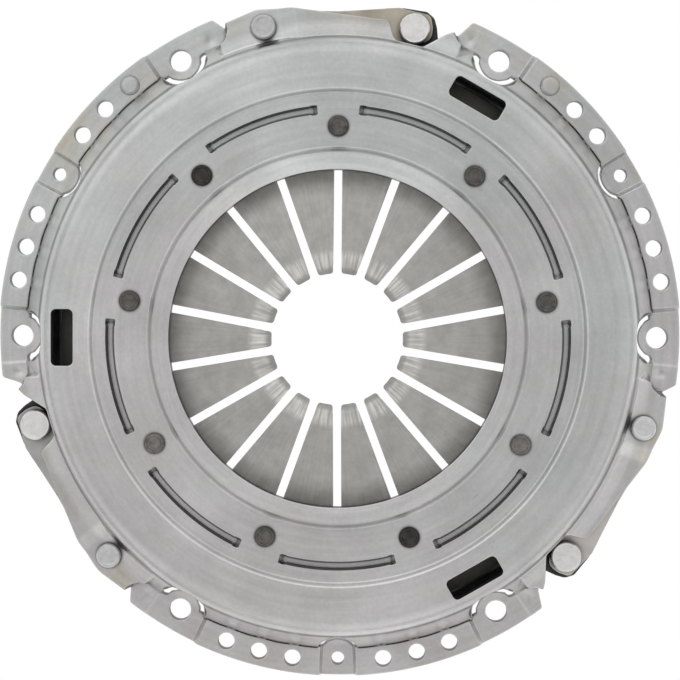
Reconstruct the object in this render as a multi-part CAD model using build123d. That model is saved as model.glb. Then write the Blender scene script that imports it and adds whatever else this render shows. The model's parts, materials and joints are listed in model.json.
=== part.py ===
from build123d import *

import os
from math import atan2, cos, degrees, hypot, radians, sin, tan

# Clutch pressure plate: a pressed-steel cover that carries a diaphragm spring and a cast plate.
# Millimetres. Origin: centre of the bolt circle, on the face that seats on the flywheel.
# +Z points to the gearbox. A bolt hole lies on +X, and a dowel hole lies halfway to the next one.

# Bolted flange
SHEET = 4.5
BOLT_PCD = 264.0
BOLT_HOLE_D = 9.0
BOLT_COUNT = 6
FLANGE_EDGE = 9.3
DOWEL_OUTSET = 2.4
DOWEL_HOLE_D = 5.4
SECTORS = 3
BALANCE_OUTSET = 3.2
BALANCE_HOLE_D = 6.9
BALANCE_ANGLES = (8.05, 14.1, 20.1)
BALANCE_LIFT = 2.5

# Angles of the flange's steps, in degrees from the dowel hole of their sector
DOWEL_TAB_HALF = 2.7
JOGGLE = 0.5
BOLT_TAB_START = 25.4
BRIDGE_END = 68.6
PAD_START = 70.4

# Sides of an arch: distance along the flange and outwards from the bolt hole that each one faces,
# where they stand on the flange and where they reach the height of the bridge
BRIDGE_FOOT_LINE = ((10.4, -8.0), (10.8, -1.9), (17.0, -1.5), (19.7, 0.7), (20.5, 13.0))
BRIDGE_HEAD_LINE = ((16.9, -10.0), (17.1, -3.6), (19.4, -2.6), (21.4, -0.6), (22.0, 13.0))
PAD_FOOT_LINE = ((11.4, -8.0), (11.6, -2.3), (19.0, -1.8), (21.6, 1.6), (22.2, 13.0))
PAD_HEAD_LINE = ((18.4, -10.0), (18.6, -3.8), (21.0, -2.8), (23.2, 0.4), (23.8, 13.0))
ARCH_SIDE_SLOPE = 72.0

# Outer edge of an arch: degrees from its reference, and distance from the strap rivet circle
FLAP_EDGE = ((6.9, 12.8), (8.3, 5.6), (9.1, 3.3))
LUG_NOTCH_EDGE = ((-5.8, 0.9), (-2.2, -7.2), (3.1, -7.2), (4.9, 0.7))
RIVET_EDGE = ((-5.2, 5.8), (0.6, 7.9))
PAD_FLAP_EDGE = ((-9.7, 6.3), (-7.8, 12.8))
ARCH_EDGE_ROUNDS = (0.8, 1.5, 1.5, 3.0, 4.0, 4.5, 2.5, 20.0, 12.0, 2.0, 0.8)
EDGE_OVERRUN = 8.0

# Rounded inner end of each tab, the slit round it and the recess that the wall has above it
TAB_NOSE_R = 8.25
TAB_ROOT_INSET = 2.9
BOLT_SLIT = 1.9
BOLT_RECESS_R = 18.0
BOLT_RECESS_INSET = 11.2
DOWEL_SLIT = 1.2
DOWEL_RECESS_R = 12.6
DOWEL_RECESS_INSET = 12.4
RECESS_SHEET = 3.0
RECESS_UNDER = 15.8
HOOK_R = 1.3
HOOK_ANGLE = 4.1
HOOK_INSET = 3.3

# Cover profile: radii and heights of the top surface
COLLAR_RUN = 8.65
CHANNEL_TOP = 33.0
COLLAR_RISE = 5.0
LAND_RISE = 3.2
LAND_SLOPE = 0.4
LAND_WIDTH = 1.7
RAMP_RUN = 2.7
STEP_RISE = 1.6
STEP_RUN = 1.9
SHOULDER_R = 118.8
SHOULDER_DROP = 1.3
WALL_BEND_OUTSET = 3.4
WALL_BEND_DROP = 11.0
WALL_FOOT_R = 129.6
FOOT_WIDTH = 1.2
SHOULDER_FILLET = 6.0
FOOT_FILLET = 1.2
WALL_BEND_FILLET = 14.0
BEND_FILLET = 1.5
EDGE_ROUND = 0.6

# Windows in the crown
WINDOW_PITCH_R = 110.4
WINDOW_WIDTH = 8.8
WINDOW_LENGTH = 22.6
WINDOW_CORNER = 2.0
WINDOW_ANGLE = 60.0

# Pivot rivets and the fulcrum beads between them
PIVOT_COUNT = 9
PIVOT_INSET = 6.9
PIVOT_START = 90.0
PIVOT_SHANK_D = 7.0
PIVOT_HEAD_D = 8.3
PIVOT_HEAD_H = 2.0
PIVOT_DISH_D = 4.2
HEAD_DISH = 0.3
PIVOT_FLANGE_D = 18.8
PIVOT_FLANGE_H = 2.2
FULCRUM_R = 91.5
CHANNEL_INSIDE = 4.8
CHANNEL_OUTSIDE = 6.4
BEAD_DEPTH = 3.2
BEAD_TOP_W = 3.8
BEAD_FLOOR_W = 1.9
BEAD_NOSE_R = 3.2
BEAD_SPAN = 29.6
BEAD_RAMP = 1.1
RING_WIRE_D = 3.5

# Diaphragm spring
SPRING_SHEET = 2.7
SPRING_R = 113.0
CONE_ANGLE = 13.0
FINGER_BEND_INSET = 7.1
FINGER_ANGLE = 22.0
FINGER_COUNT = 18
FINGER_GAP = 3.3
FINGER_KNEE_R = 33.5
FINGER_CREST_R = 28.6
FINGER_CREST_RISE = 0.5
FINGER_TIP_R = 25.8
FINGER_TIP_DROP = 2.4
FINGER_CREST_FILLET = 2.0
FINGER_KNEE_FILLET = 6.0
FINGER_BEND_FILLET = 25.0
KEYHOLE_D = 11.0
SLOT_END_INSET = 2.1
SLOT_END_D = 8.0

# Cast pressure plate
TRAVEL = 4.0
PLATE_FACE_Z = 4.6
PLATE_R = 120.0
PLATE_BORE_R = 75.5
PLATE_RIM_H = 4.0
PLATE_SHOULDER_R = 114.0
PLATE_SHOULDER_H = 10.4
WEB_EDGE_R = 99.0
WEB_SLOPE_R = 103.0
RIDGE_R = 110.0
RIDGE_TOP_W = 1.6
RIDGE_FOOT_W = 6.4

# Drive straps, their lugs and rivets
STRAP_SHEET = 0.9
STRAP_LEAVES = 3
STRAP_HALF_ANGLE = 13.7
STRAP_RIVET_R = 129.2
STRAP_MIDDLE = 60.0
STRAP_WIDTH = 16.4
STRAP_END_R = 9.2
STRAP_SET = 1.8
STRAP_FLAT = 11.0
STRAP_BEND_R = 90.0
LUG_R = 10.8
LUG_LIFT = 0.4
LUG_THICKNESS = 5.8
LUG_ROOT_R = 112.0
LUG_ROOT_W = 24.0
COVER_RIVET_SHANK_D = 7.0
COVER_RIVET_HEAD_D = 10.0
COVER_RIVET_HEAD_H = 2.8
COVER_RIVET_DISH_D = 7.2
POCKET_GAP = 2.3
POCKET_SHEET = 3.0
LUG_RIVET_SHANK_D = 8.0
LUG_RIVET_HEAD_D = 11.8
LUG_RIVET_HEAD_H = 5.0
RIVET_TAIL_H = 2.0
SPOT_FACE = 2.3

# Balance rivets: dowel sector and place in BALANCE_ANGLES, negative on the clockwise side
BALANCE_RIVETS = ((0, 3), (1, -3))
BALANCE_HEAD_D = 7.8
BALANCE_HEAD_H = 1.5

# Clearances, and the length by which a cutter runs past what it cuts
HOLE_CLEARANCE = 0.1
SEAT_CLEARANCE = 0.05
SPRING_CLEARANCE = 0.15
RUNNING_CLEARANCE = 0.5
LAP = 1.0

# Derived radii, angles and heights
BOLT_R = BOLT_PCD / 2
DOWEL_R = BOLT_R + DOWEL_OUTSET
BALANCE_R = BOLT_R + BALANCE_OUTSET
FLANGE_R = BOLT_R + FLANGE_EDGE
SECTOR_ANGLE = 360.0 / SECTORS
DOWEL_START = SECTOR_ANGLE / 4
CROWN_TOP = CHANNEL_TOP + STEP_RISE
COVER_TOP = CHANNEL_TOP + LAND_RISE + LAND_SLOPE + COLLAR_RISE
PIVOT_RIVET_R = FULCRUM_R - PIVOT_INSET
CHANNEL_R_IN = PIVOT_RIVET_R - CHANNEL_INSIDE
LAND_R = CHANNEL_R_IN - RAMP_RUN
COLLAR_R = LAND_R - LAND_WIDTH
OPENING_R = COLLAR_R - COLLAR_RUN
SLOT_END_R = PIVOT_RIVET_R - SLOT_END_INSET
FINGER_BEND_R = PIVOT_RIVET_R - FINGER_BEND_INSET
CHANNEL_R_OUT = FULCRUM_R + CHANNEL_OUTSIDE
CHANNEL_UNDER = CHANNEL_TOP - SHEET
BEAD_UNDER = CHANNEL_UNDER - BEAD_DEPTH
SPRING_TOP = BEAD_UNDER - BEAD_NOSE_R * (1 / cos(radians(CONE_ANGLE)) - 1) - SEAT_CLEARANCE
SPRING_DEPTH = SPRING_SHEET / cos(radians(CONE_ANGLE))
RING_Z = SPRING_TOP - (SPRING_SHEET + RING_WIRE_D / 2 + SEAT_CLEARANCE) / cos(radians(CONE_ANGLE))
PIVOT_FLANGE_TOP = RING_Z - RING_WIRE_D / 2 - SEAT_CLEARANCE
PIVOT_BOTTOM = PIVOT_FLANGE_TOP - PIVOT_FLANGE_H
WEB_TOP = PIVOT_BOTTOM - TRAVEL - RUNNING_CLEARANCE
RIDGE_EDGE_R = RIDGE_R + RIDGE_TOP_W / 2
RIDGE_TOP = (SPRING_TOP - (RIDGE_EDGE_R - FULCRUM_R) * tan(radians(CONE_ANGLE)) - SPRING_DEPTH
             - SPRING_CLEARANCE)
LUG_UNDER = PLATE_FACE_Z + LUG_LIFT
LUG_TOP = LUG_UNDER + LUG_THICKNESS
STRAP_PACK = STRAP_LEAVES * STRAP_SHEET
STRAP_SPAN = 2 * STRAP_RIVET_R * sin(radians(STRAP_HALF_ANGLE))
STRAP_CHORD_R = STRAP_RIVET_R * cos(radians(STRAP_HALF_ANGLE))
PAD_UNDER = LUG_TOP + STRAP_PACK + STRAP_SET + 2 * SEAT_CLEARANCE
BRIDGE_UNDER = LUG_TOP + STRAP_PACK + TRAVEL + RUNNING_CLEARANCE
ARCH_ANGLE = DOWEL_START + STRAP_MIDDLE
BOLT_PITCH = 360.0 / BOLT_COUNT
BRIDGE_BOLT = DOWEL_START + BOLT_PITCH / 2
PAD_BOLT = BRIDGE_BOLT + BOLT_PITCH
TAB_ROOT_R = BOLT_R - TAB_ROOT_INSET
WALL_BEND_R = SHOULDER_R + WALL_BEND_OUTSET


def polar(radius, angle, z=0.0):
    """Point at a radius, an angle in degrees and a height."""
    return Vector(radius * cos(radians(angle)), radius * sin(radians(angle)), z)


def slopes(points):
    """Slope of each run of a line of (radius, height), in radians."""
    return [atan2(z1 - z0, r1 - r0) for (r0, z0), (r1, z1) in zip(points, points[1:])]


def lowered(points, depth):
    """The same line moved square to itself by a depth, towards its underside."""
    runs = slopes(points)
    before, after = [runs[0]] + runs, runs + [runs[-1]]
    moved = []
    for (r, z), a, b in zip(points, before, after):
        reach, lean = depth / cos((a - b) / 2), (a + b) / 2
        moved.append((r + reach * sin(lean), z - reach * cos(lean)))
    return moved


def filleted(points, fillets):
    """Edges of a line of (radius, height) in the XZ plane, each fillet limited by its shorter run."""
    runs = slopes(points)
    lengths = [hypot(r1 - r0, z1 - z0) for (r0, z0), (r1, z1) in zip(points, points[1:])]
    fitted = []
    for k, radius in enumerate(fillets):
        shorter = min(lengths[k], lengths[k + 1])
        fitted.append(min(radius, 0.45 * shorter / tan(abs(runs[k] - runs[k + 1]) / 2)))
    return FilletPolyline(*[(r, 0, z) for r, z in points], radius=fitted)


def sheet_section(points, fillets, thickness):
    """Section in the XZ plane of a bent sheet that lies under a filleted line of (radius, height)."""
    runs = slopes(points)
    under_fillets = []
    for k, radius in enumerate(fillets):
        rises = runs[k + 1] > runs[k]
        under_fillets.append(radius + thickness if rises else max(radius - thickness, EDGE_ROUND))
    over = filleted(points, fillets)
    under = filleted(lowered(points, thickness), under_fillets)
    ends = Line(over @ 0, under @ 0).edges() + Line(over @ 1, under @ 1).edges()
    return Face(Wire(over.edges() + under.edges() + ends))


def turned(points):
    """Solid of revolution about Z from a closed outline of (radius, height)."""
    return revolve(Face(Wire.make_polygon([(r, 0, z) for r, z in points], close=True)), Axis.Z)


def upright(section, bottom, top):
    """Prism of a flat section between two heights."""
    return extrude(Pos(0, 0, bottom) * section, amount=top - bottom, dir=(0, 0, 1))


def around(shape, count, start=0.0):
    """Copies of a shape turned about Z."""
    return [Rot(0, 0, start + k * 360.0 / count) * shape for k in range(count)]


def level(line, angle):
    """Height at an angle of a broken line of (angle, height)."""
    for (a0, z0), (a1, z1) in zip(line, line[1:]):
        if a0 <= angle <= a1:
            return z0 + (z1 - z0) * (angle - a0) / (a1 - a0)
    return line[-1][1]


def radial_face(angle, r0, r1, z0, z1):
    """Upright rectangle in the plane through Z at an angle."""
    corners = [polar(r0, angle, z0), polar(r1, angle, z0), polar(r1, angle, z1), polar(r0, angle, z1)]
    return Face(Wire.make_polygon(corners, close=True))


def band(top, under, r0, r1):
    """Ribbon about Z whose top and underside follow two broken lines of (angle, height)."""
    stops = sorted({a for a, _ in top} | {a for a, _ in under})
    cells = []
    for a0, a1 in zip(stops, stops[1:]):
        ends = [radial_face(a, r0, r1, level(under, a), level(top, a)) for a in (a0, a1)]
        flat = level(top, a0) == level(top, a1) and level(under, a0) == level(under, a1)
        if flat:
            cells.append(revolve(ends[0], Axis.Z, a1 - a0))
        else:
            cells.append(loft(ends, ruled=True))
    return Part() + cells


def flange_line():
    """Underside of one sector of the flange, from its dowel tab to the next one."""
    steps = [
        (-DOWEL_TAB_HALF, 0), (DOWEL_TAB_HALF, 0),
        (DOWEL_TAB_HALF + JOGGLE, BALANCE_LIFT), (BOLT_TAB_START - JOGGLE, BALANCE_LIFT),
        (BOLT_TAB_START, 0), (SECTOR_ANGLE - BOLT_TAB_START, 0),
        (SECTOR_ANGLE - BOLT_TAB_START + JOGGLE, BALANCE_LIFT),
        (SECTOR_ANGLE - DOWEL_TAB_HALF - JOGGLE, BALANCE_LIFT), (SECTOR_ANGLE - DOWEL_TAB_HALF, 0),
    ]
    return [(DOWEL_START + a, z) for a, z in steps]


def arch_line():
    """Underside of one arch: a high bridge over the lug rivet and a lower pad at the cover rivet."""
    return [(BRIDGE_BOLT, BRIDGE_UNDER), (DOWEL_START + BRIDGE_END, BRIDGE_UNDER),
            (DOWEL_START + PAD_START, PAD_UNDER), (PAD_BOLT, PAD_UNDER)]


def raised(line, height):
    """A line of (angle, height) moved up."""
    return [(a, z + height) for a, z in line]


def arch_plan(bridge_side, pad_side, inset, z):
    """Plan of an arch at a height, between its two sides moved inwards."""
    bridge = [(BRIDGE_BOLT + degrees(t / BOLT_R), BOLT_R + r) for t, r in lowered(bridge_side, inset)]
    pad = [(PAD_BOLT - degrees(t / BOLT_R), BOLT_R + r) for t, r in lowered(pad_side, inset)]
    start, end = (bridge[0][0], CHANNEL_R_OUT), (pad[0][0], CHANNEL_R_OUT)
    corners = [start] + bridge + [(ARCH_ANGLE, 2 * FLANGE_R)] + pad[::-1] + [end]
    return Face(Wire.make_polygon([polar(r, a, z) for a, r in corners], close=True))


def arch_block(inset, low, high):
    """Solid between the sides of an arch, from the foot of its sides to their head."""
    foot = arch_plan(BRIDGE_FOOT_LINE, PAD_FOOT_LINE, inset, low)
    head = arch_plan(BRIDGE_HEAD_LINE, PAD_HEAD_LINE, inset, high)
    return loft([foot, head], ruled=True)


def arch():
    """Sheet of one arch, and the space under it."""
    line = arch_line()
    inset = SHEET * tan(radians(ARCH_SIDE_SLOPE) / 2)
    over = band(raised(line, SHEET), [(a, 0) for a, _ in line], CHANNEL_R_OUT, FLANGE_R)
    over &= arch_block(0, SHEET, BRIDGE_UNDER + SHEET)
    under = band(line, [(a, -2 * LAP) for a, _ in line], CHANNEL_R_OUT, FLANGE_R + LAP)
    under &= arch_block(inset, -LAP, BRIDGE_UNDER)
    return over, under


def cover_profile():
    """Top line of the cover from its opening to the foot of the wall."""
    foot = BALANCE_LIFT + SHEET
    collar_z = CHANNEL_TOP + LAND_RISE + LAND_SLOPE
    points = [
        (OPENING_R, COVER_TOP), (COLLAR_R, collar_z), (LAND_R, CHANNEL_TOP + LAND_RISE),
        (CHANNEL_R_IN, CHANNEL_TOP), (CHANNEL_R_OUT, CHANNEL_TOP), (CHANNEL_R_OUT + STEP_RUN, CROWN_TOP),
        (SHOULDER_R, CROWN_TOP - SHOULDER_DROP),
        (WALL_BEND_R, CROWN_TOP - SHOULDER_DROP - WALL_BEND_DROP), (WALL_FOOT_R, foot),
        (WALL_FOOT_R + FOOT_WIDTH, foot),
    ]
    fillets = [BEND_FILLET, BEND_FILLET / 2, BEND_FILLET, BEND_FILLET, BEND_FILLET, SHOULDER_FILLET,
               WALL_BEND_FILLET, FOOT_FILLET / 2]
    return points, fillets


def inside_wall(depth):
    """Space under the crown and inside the wall, a depth below the wall's outer face."""
    points, _ = cover_profile()
    (r0, z0), (r1, z1), (r2, z2) = lowered(points[6:9], depth)
    low_r = r2 + (r2 - r1) / (z1 - z2) * z2
    high_r = r1 - (r1 - r0) / (z0 - z1) * (CHANNEL_UNDER - z1)
    return turned([(0, 0), (low_r, 0), (r1, z1), (high_r, CHANNEL_UNDER), (0, CHANNEL_UNDER)])


def arch_outline():
    """Plan of what is trimmed off outside one arch: its outer edge and the notch round the lug rivet."""
    references = [
        (BRIDGE_BOLT, FLAP_EDGE), (ARCH_ANGLE - STRAP_HALF_ANGLE, LUG_NOTCH_EDGE),
        (ARCH_ANGLE + STRAP_HALF_ANGLE, RIVET_EDGE), (PAD_BOLT, PAD_FLAP_EDGE),
    ]
    edge = [polar(STRAP_RIVET_R + r, start + a) for start, line in references for a, r in line]
    outside = FLANGE_R + EDGE_OVERRUN
    first = polar(outside, BRIDGE_BOLT + FLAP_EDGE[0][0])
    last = polar(outside, PAD_BOLT + PAD_FLAP_EDGE[-1][0])
    line = FilletPolyline(first, *edge, last, radius=ARCH_EDGE_ROUNDS)
    closing = Polyline(last, polar(2 * outside, ARCH_ANGLE), first)
    return Face(Wire(line.edges() + closing.edges()))


def recess_block(pitch_r, slit_r, brow_r, brow_inset, grown):
    """Leaning round block on +X: round the tab's end at the flange, wider under the crown."""
    low = Pos(pitch_r, 0, SHEET) * Circle(slit_r + grown)
    high = Pos(BOLT_R - brow_inset + brow_r, 0, CHANNEL_UNDER) * Circle(brow_r + grown)
    return loft([low, high], ruled=True)


def tab_relief(pitch_r, gap, brow_r, brow_inset):
    """Inner end of a tab on +X: the sheet that backs the recess in the wall, and the cutters."""
    slit_r = TAB_NOSE_R + gap
    backing = recess_block(pitch_r, slit_r, brow_r, brow_inset, RECESS_SHEET)
    backing &= inside_wall(0) - Cylinder(2 * FLANGE_R, 2 * RECESS_UNDER)
    recess = recess_block(pitch_r, slit_r, brow_r, brow_inset, 0)
    recess &= Cylinder(WALL_FOOT_R + FOOT_WIDTH, 4 * COVER_TOP)
    slit = (Pos(pitch_r, 0) * Circle(slit_r) & Circle(TAB_ROOT_R)) - Pos(pitch_r, 0) * Circle(TAB_NOSE_R)
    return backing, [recess, upright(slit, -LAP, SHEET + LAP)]


def tab_hook(side):
    """Round end that the slit of a bolt tab has towards the arch, for a bolt hole on +X."""
    return upright(Pos(polar(BOLT_R - HOOK_INSET, side * HOOK_ANGLE)) * Circle(HOOK_R), -LAP, 3 * SHEET)


def rivet_pocket():
    """Pocket pressed into the wall beside a cover rivet: the added sheet and the cutter, both on +X."""
    radius = COVER_RIVET_HEAD_D / 2 + POCKET_GAP
    skin = upright(Pos(STRAP_RIVET_R, 0) * Circle(radius + POCKET_SHEET), PAD_UNDER, CHANNEL_UNDER)
    skin &= inside_wall(0)
    return skin, upright(Pos(STRAP_RIVET_R, 0) * Circle(radius), PAD_UNDER + SHEET, COVER_TOP)


def groove_section(depth, angle):
    """Section of the groove in the plane through Z at an angle; its width at the channel is constant."""
    lean = (BEAD_TOP_W - BEAD_FLOOR_W) / 2 / BEAD_DEPTH
    top, floor = CHANNEL_TOP + LAP, CHANNEL_TOP - depth
    wide, narrow = BEAD_TOP_W / 2 + lean * LAP, BEAD_TOP_W / 2 - lean * depth
    outline = [(FULCRUM_R - narrow, floor), (FULCRUM_R + narrow, floor), (FULCRUM_R + wide, top),
               (FULCRUM_R - wide, top)]
    return Face(Wire.make_polygon([polar(r, angle, z) for r, z in outline], close=True))


def fulcrum_groove():
    """Groove pressed into the channel, as cutters that start at angle 0, with a ramp at each end."""
    middle = revolve(groove_section(BEAD_DEPTH, BEAD_RAMP), Axis.Z, BEAD_SPAN - 2 * BEAD_RAMP)
    cutters = [middle]
    for end, inner in ((0, BEAD_RAMP), (BEAD_SPAN, BEAD_SPAN - BEAD_RAMP)):
        sections = [groove_section(0, end), groove_section(BEAD_DEPTH, inner)]
        cutters.append(loft(sections, ruled=True))
    return Part() + cutters


def fulcrum_bead():
    """Rounded bead that the groove raises on the underside, which the spring tilts on."""
    nose_z = BEAD_UNDER + BEAD_NOSE_R
    outline = Pos(FULCRUM_R, nose_z) * Circle(BEAD_NOSE_R)
    outline &= Pos(FULCRUM_R, CHANNEL_UNDER) * Rectangle(4 * BEAD_NOSE_R, 2 * BEAD_DEPTH)
    section = Plane.XZ * outline
    lap = degrees(BEAD_NOSE_R / 2 / FULCRUM_R)
    solid = revolve(section, Axis.Z, BEAD_SPAN + 2 * lap)
    return Rot(0, 0, -lap) * solid


def hole(radius, diameter, angle):
    """Cutter through the full height at a pitch radius and an angle."""
    return Pos(polar(radius, angle)) * Cylinder(diameter / 2, 4 * COVER_TOP)


def balance_places():
    """Sector number, signed place and angle of every balance hole."""
    places = []
    for sector in range(SECTORS):
        for k, offset in enumerate(BALANCE_ANGLES, start=1):
            centre = DOWEL_START + sector * SECTOR_ANGLE
            places.append((sector, k, centre + offset))
            places.append((sector, -k, centre - offset))
    return places


def cover_holes():
    """Every round hole in the cover."""
    cutters = [hole(BOLT_R, BOLT_HOLE_D, k * 360.0 / BOLT_COUNT) for k in range(BOLT_COUNT)]
    cutters += [hole(DOWEL_R, DOWEL_HOLE_D, DOWEL_START + k * SECTOR_ANGLE) for k in range(SECTORS)]
    cutters += [hole(BALANCE_R, BALANCE_HOLE_D, angle) for _, _, angle in balance_places()]
    pivot_d = PIVOT_SHANK_D + 2 * HOLE_CLEARANCE
    cutters += [hole(PIVOT_RIVET_R, pivot_d, angle) for angle in pivot_angles()]
    strap_d = COVER_RIVET_SHANK_D + 2 * HOLE_CLEARANCE
    cutters += [hole(STRAP_RIVET_R, strap_d, angle + STRAP_HALF_ANGLE) for angle in arch_angles()]
    return cutters


def pivot_angles():
    return [PIVOT_START + k * 360.0 / PIVOT_COUNT for k in range(PIVOT_COUNT)]


def arch_angles():
    return [ARCH_ANGLE + k * SECTOR_ANGLE for k in range(SECTORS)]


def cover():
    """Pressed cover: domed centre, flange with tabs at the bolts and dowels, arches over the straps."""
    points, fillets = cover_profile()
    dome = revolve(sheet_section(points, fillets, SHEET), Axis.Z)
    over, under = arch()
    line = flange_line()
    sector = band(raised(line, SHEET), line, SHOULDER_R - SHEET, FLANGE_R + LAP)
    sector &= Cylinder(FLANGE_R, 4 * COVER_TOP)
    sector += over
    sector -= inside_wall(SHEET)
    body = dome + around(sector, SECTORS)
    skin, pocket = rivet_pocket()
    body += around(skin, SECTORS, ARCH_ANGLE + STRAP_HALF_ANGLE)
    bolt_backing, bolt_relief = tab_relief(BOLT_R, BOLT_SLIT, BOLT_RECESS_R, BOLT_RECESS_INSET)
    dowel_backing, dowel_relief = tab_relief(DOWEL_R, DOWEL_SLIT, DOWEL_RECESS_R, DOWEL_RECESS_INSET)
    body += around(bolt_backing, BOLT_COUNT)
    body += around(dowel_backing, SECTORS, DOWEL_START)
    body -= around(under, SECTORS)
    body -= around(pocket, SECTORS, ARCH_ANGLE + STRAP_HALF_ANGLE)
    body -= around(upright(arch_outline(), -LAP, CHANNEL_UNDER - LAP), SECTORS)
    for cutter in bolt_relief:
        body -= around(cutter, BOLT_COUNT)
    for cutter in dowel_relief:
        body -= around(cutter, SECTORS, DOWEL_START)
    body -= around(tab_hook(1), SECTORS, BRIDGE_BOLT)
    body -= around(tab_hook(-1), SECTORS, PAD_BOLT)
    first_bead = PIVOT_START + (360.0 / PIVOT_COUNT - BEAD_SPAN) / 2
    body += around(fulcrum_bead(), PIVOT_COUNT, first_bead)
    body -= around(fulcrum_groove(), PIVOT_COUNT, first_bead)
    window = Pos(WINDOW_PITCH_R, 0) * RectangleRounded(WINDOW_WIDTH, WINDOW_LENGTH, WINDOW_CORNER)
    body -= around(upright(window, CHANNEL_UNDER - SHEET, COVER_TOP), SECTORS, WINDOW_ANGLE)
    body -= cover_holes()
    return body


def diaphragm_spring():
    """Coned spring disc cut into fingers, with holes for the pivot rivets at every other slot."""
    cone, lift = tan(radians(CONE_ANGLE)), tan(radians(FINGER_ANGLE))
    bend_z = SPRING_TOP + (FULCRUM_R - FINGER_BEND_R) * cone
    knee_z = bend_z + (FINGER_BEND_R - FINGER_KNEE_R) * lift
    crest_z = knee_z + FINGER_CREST_RISE
    points = [
        (FINGER_TIP_R, crest_z - FINGER_TIP_DROP), (FINGER_CREST_R, crest_z), (FINGER_KNEE_R, knee_z),
        (FINGER_BEND_R, bend_z), (SPRING_R, SPRING_TOP - (SPRING_R - FULCRUM_R) * cone),
    ]
    fillets = [FINGER_CREST_FILLET, FINGER_KNEE_FILLET, FINGER_BEND_FILLET]
    disc = revolve(sheet_section(points, fillets, SPRING_SHEET), Axis.Z)
    pitch = 360.0 / FINGER_COUNT
    cutters = []
    for k in range(FINGER_COUNT):
        turn = Rot(0, 0, PIVOT_START + k * pitch)
        at_rivet = k % 2 == 0
        end_r, end_d = (PIVOT_RIVET_R, KEYHOLE_D) if at_rivet else (SLOT_END_R, SLOT_END_D)
        slot = Pos(end_r / 2, 0) * Rectangle(end_r, FINGER_GAP) + Pos(end_r, 0) * Circle(end_d / 2)
        cutters.append(turn * upright(slot, 0, 2 * COVER_TOP))
    return disc - cutters


def lower_pivot_ring():
    """Round wire under the spring, carried by the flanges of the pivot rivets."""
    return Pos(0, 0, RING_Z) * Torus(FULCRUM_R, RING_WIRE_D / 2)


def rivet_head(diameter, bottom, height, dish_d):
    """Round head on Z with a rounded rim and, where it has one, a shallow dish in its top."""
    head = upright(Circle(diameter / 2), bottom, bottom + height)
    head = fillet(head.edges().sort_by(Axis.Z)[-1], EDGE_ROUND)
    if dish_d:
        head -= upright(Circle(dish_d / 2), bottom + height - HEAD_DISH, bottom + 2 * height)
    return head


def pivot_rivet(angle):
    """Shouldered rivet: head on the cover, shank through the spring, flange under the ring."""
    head = rivet_head(PIVOT_HEAD_D, CHANNEL_TOP, PIVOT_HEAD_H, PIVOT_DISH_D)
    shank = upright(Circle(PIVOT_SHANK_D / 2), PIVOT_BOTTOM, CHANNEL_TOP)
    flange = upright(Circle(PIVOT_FLANGE_D / 2), PIVOT_BOTTOM, PIVOT_FLANGE_TOP)
    flange = chamfer(flange.edges().sort_by(Axis.Z)[0], PIVOT_FLANGE_H / 4)
    return Pos(polar(PIVOT_RIVET_R, angle)) * (head + shank + flange)


def pressure_plate():
    """Cast ring with a friction face, a raised ridge for the spring and three lugs for the straps."""
    web_end_z = PLATE_FACE_Z + PLATE_SHOULDER_H
    foot, crest = RIDGE_FOOT_W / 2, RIDGE_TOP_W / 2
    ring = turned([
        (PLATE_BORE_R, PLATE_FACE_Z), (PLATE_R, PLATE_FACE_Z), (PLATE_R, PLATE_FACE_Z + PLATE_RIM_H),
        (PLATE_SHOULDER_R, web_end_z), (RIDGE_R + foot, web_end_z), (RIDGE_R + crest, RIDGE_TOP),
        (RIDGE_R - crest, RIDGE_TOP), (RIDGE_R - foot, web_end_z), (WEB_SLOPE_R, web_end_z),
        (WEB_EDGE_R, WEB_TOP), (PLATE_BORE_R, WEB_TOP),
    ])
    tongue = Pos(STRAP_RIVET_R, 0) * Circle(LUG_R)
    root = Polygon((LUG_ROOT_R, -LUG_ROOT_W / 2), (STRAP_RIVET_R, -LUG_R), (STRAP_RIVET_R, LUG_R),
                   (LUG_ROOT_R, LUG_ROOT_W / 2), align=None)
    lug = upright(tongue + root, LUG_UNDER, LUG_TOP)
    lug_angles = [angle - STRAP_HALF_ANGLE for angle in arch_angles()]
    relief_x = STRAP_CHORD_R - STRAP_WIDTH / 2 - 2 * RUNNING_CLEARANCE
    relief = Box(STRAP_WIDTH, 2 * STRAP_CHORD_R, 4 * COVER_TOP, align=(Align.MIN, Align.CENTER, Align.MIN))
    relief = Pos(relief_x, 0, PLATE_FACE_Z + PLATE_RIM_H) * relief
    ring -= [Rot(0, 0, angle) * relief for angle in arch_angles()]
    plate = ring + [Rot(0, 0, angle) * lug for angle in lug_angles]
    shank_d = LUG_RIVET_SHANK_D + 2 * HOLE_CLEARANCE
    spot_d = LUG_RIVET_HEAD_D + 2 * RUNNING_CLEARANCE
    for angle in lug_angles:
        plate -= hole(STRAP_RIVET_R, shank_d, angle)
        spot = upright(Circle(spot_d / 2), LUG_UNDER - LAP, LUG_UNDER + SPOT_FACE)
        plate -= Pos(polar(STRAP_RIVET_R, angle)) * spot
    return plate


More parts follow.
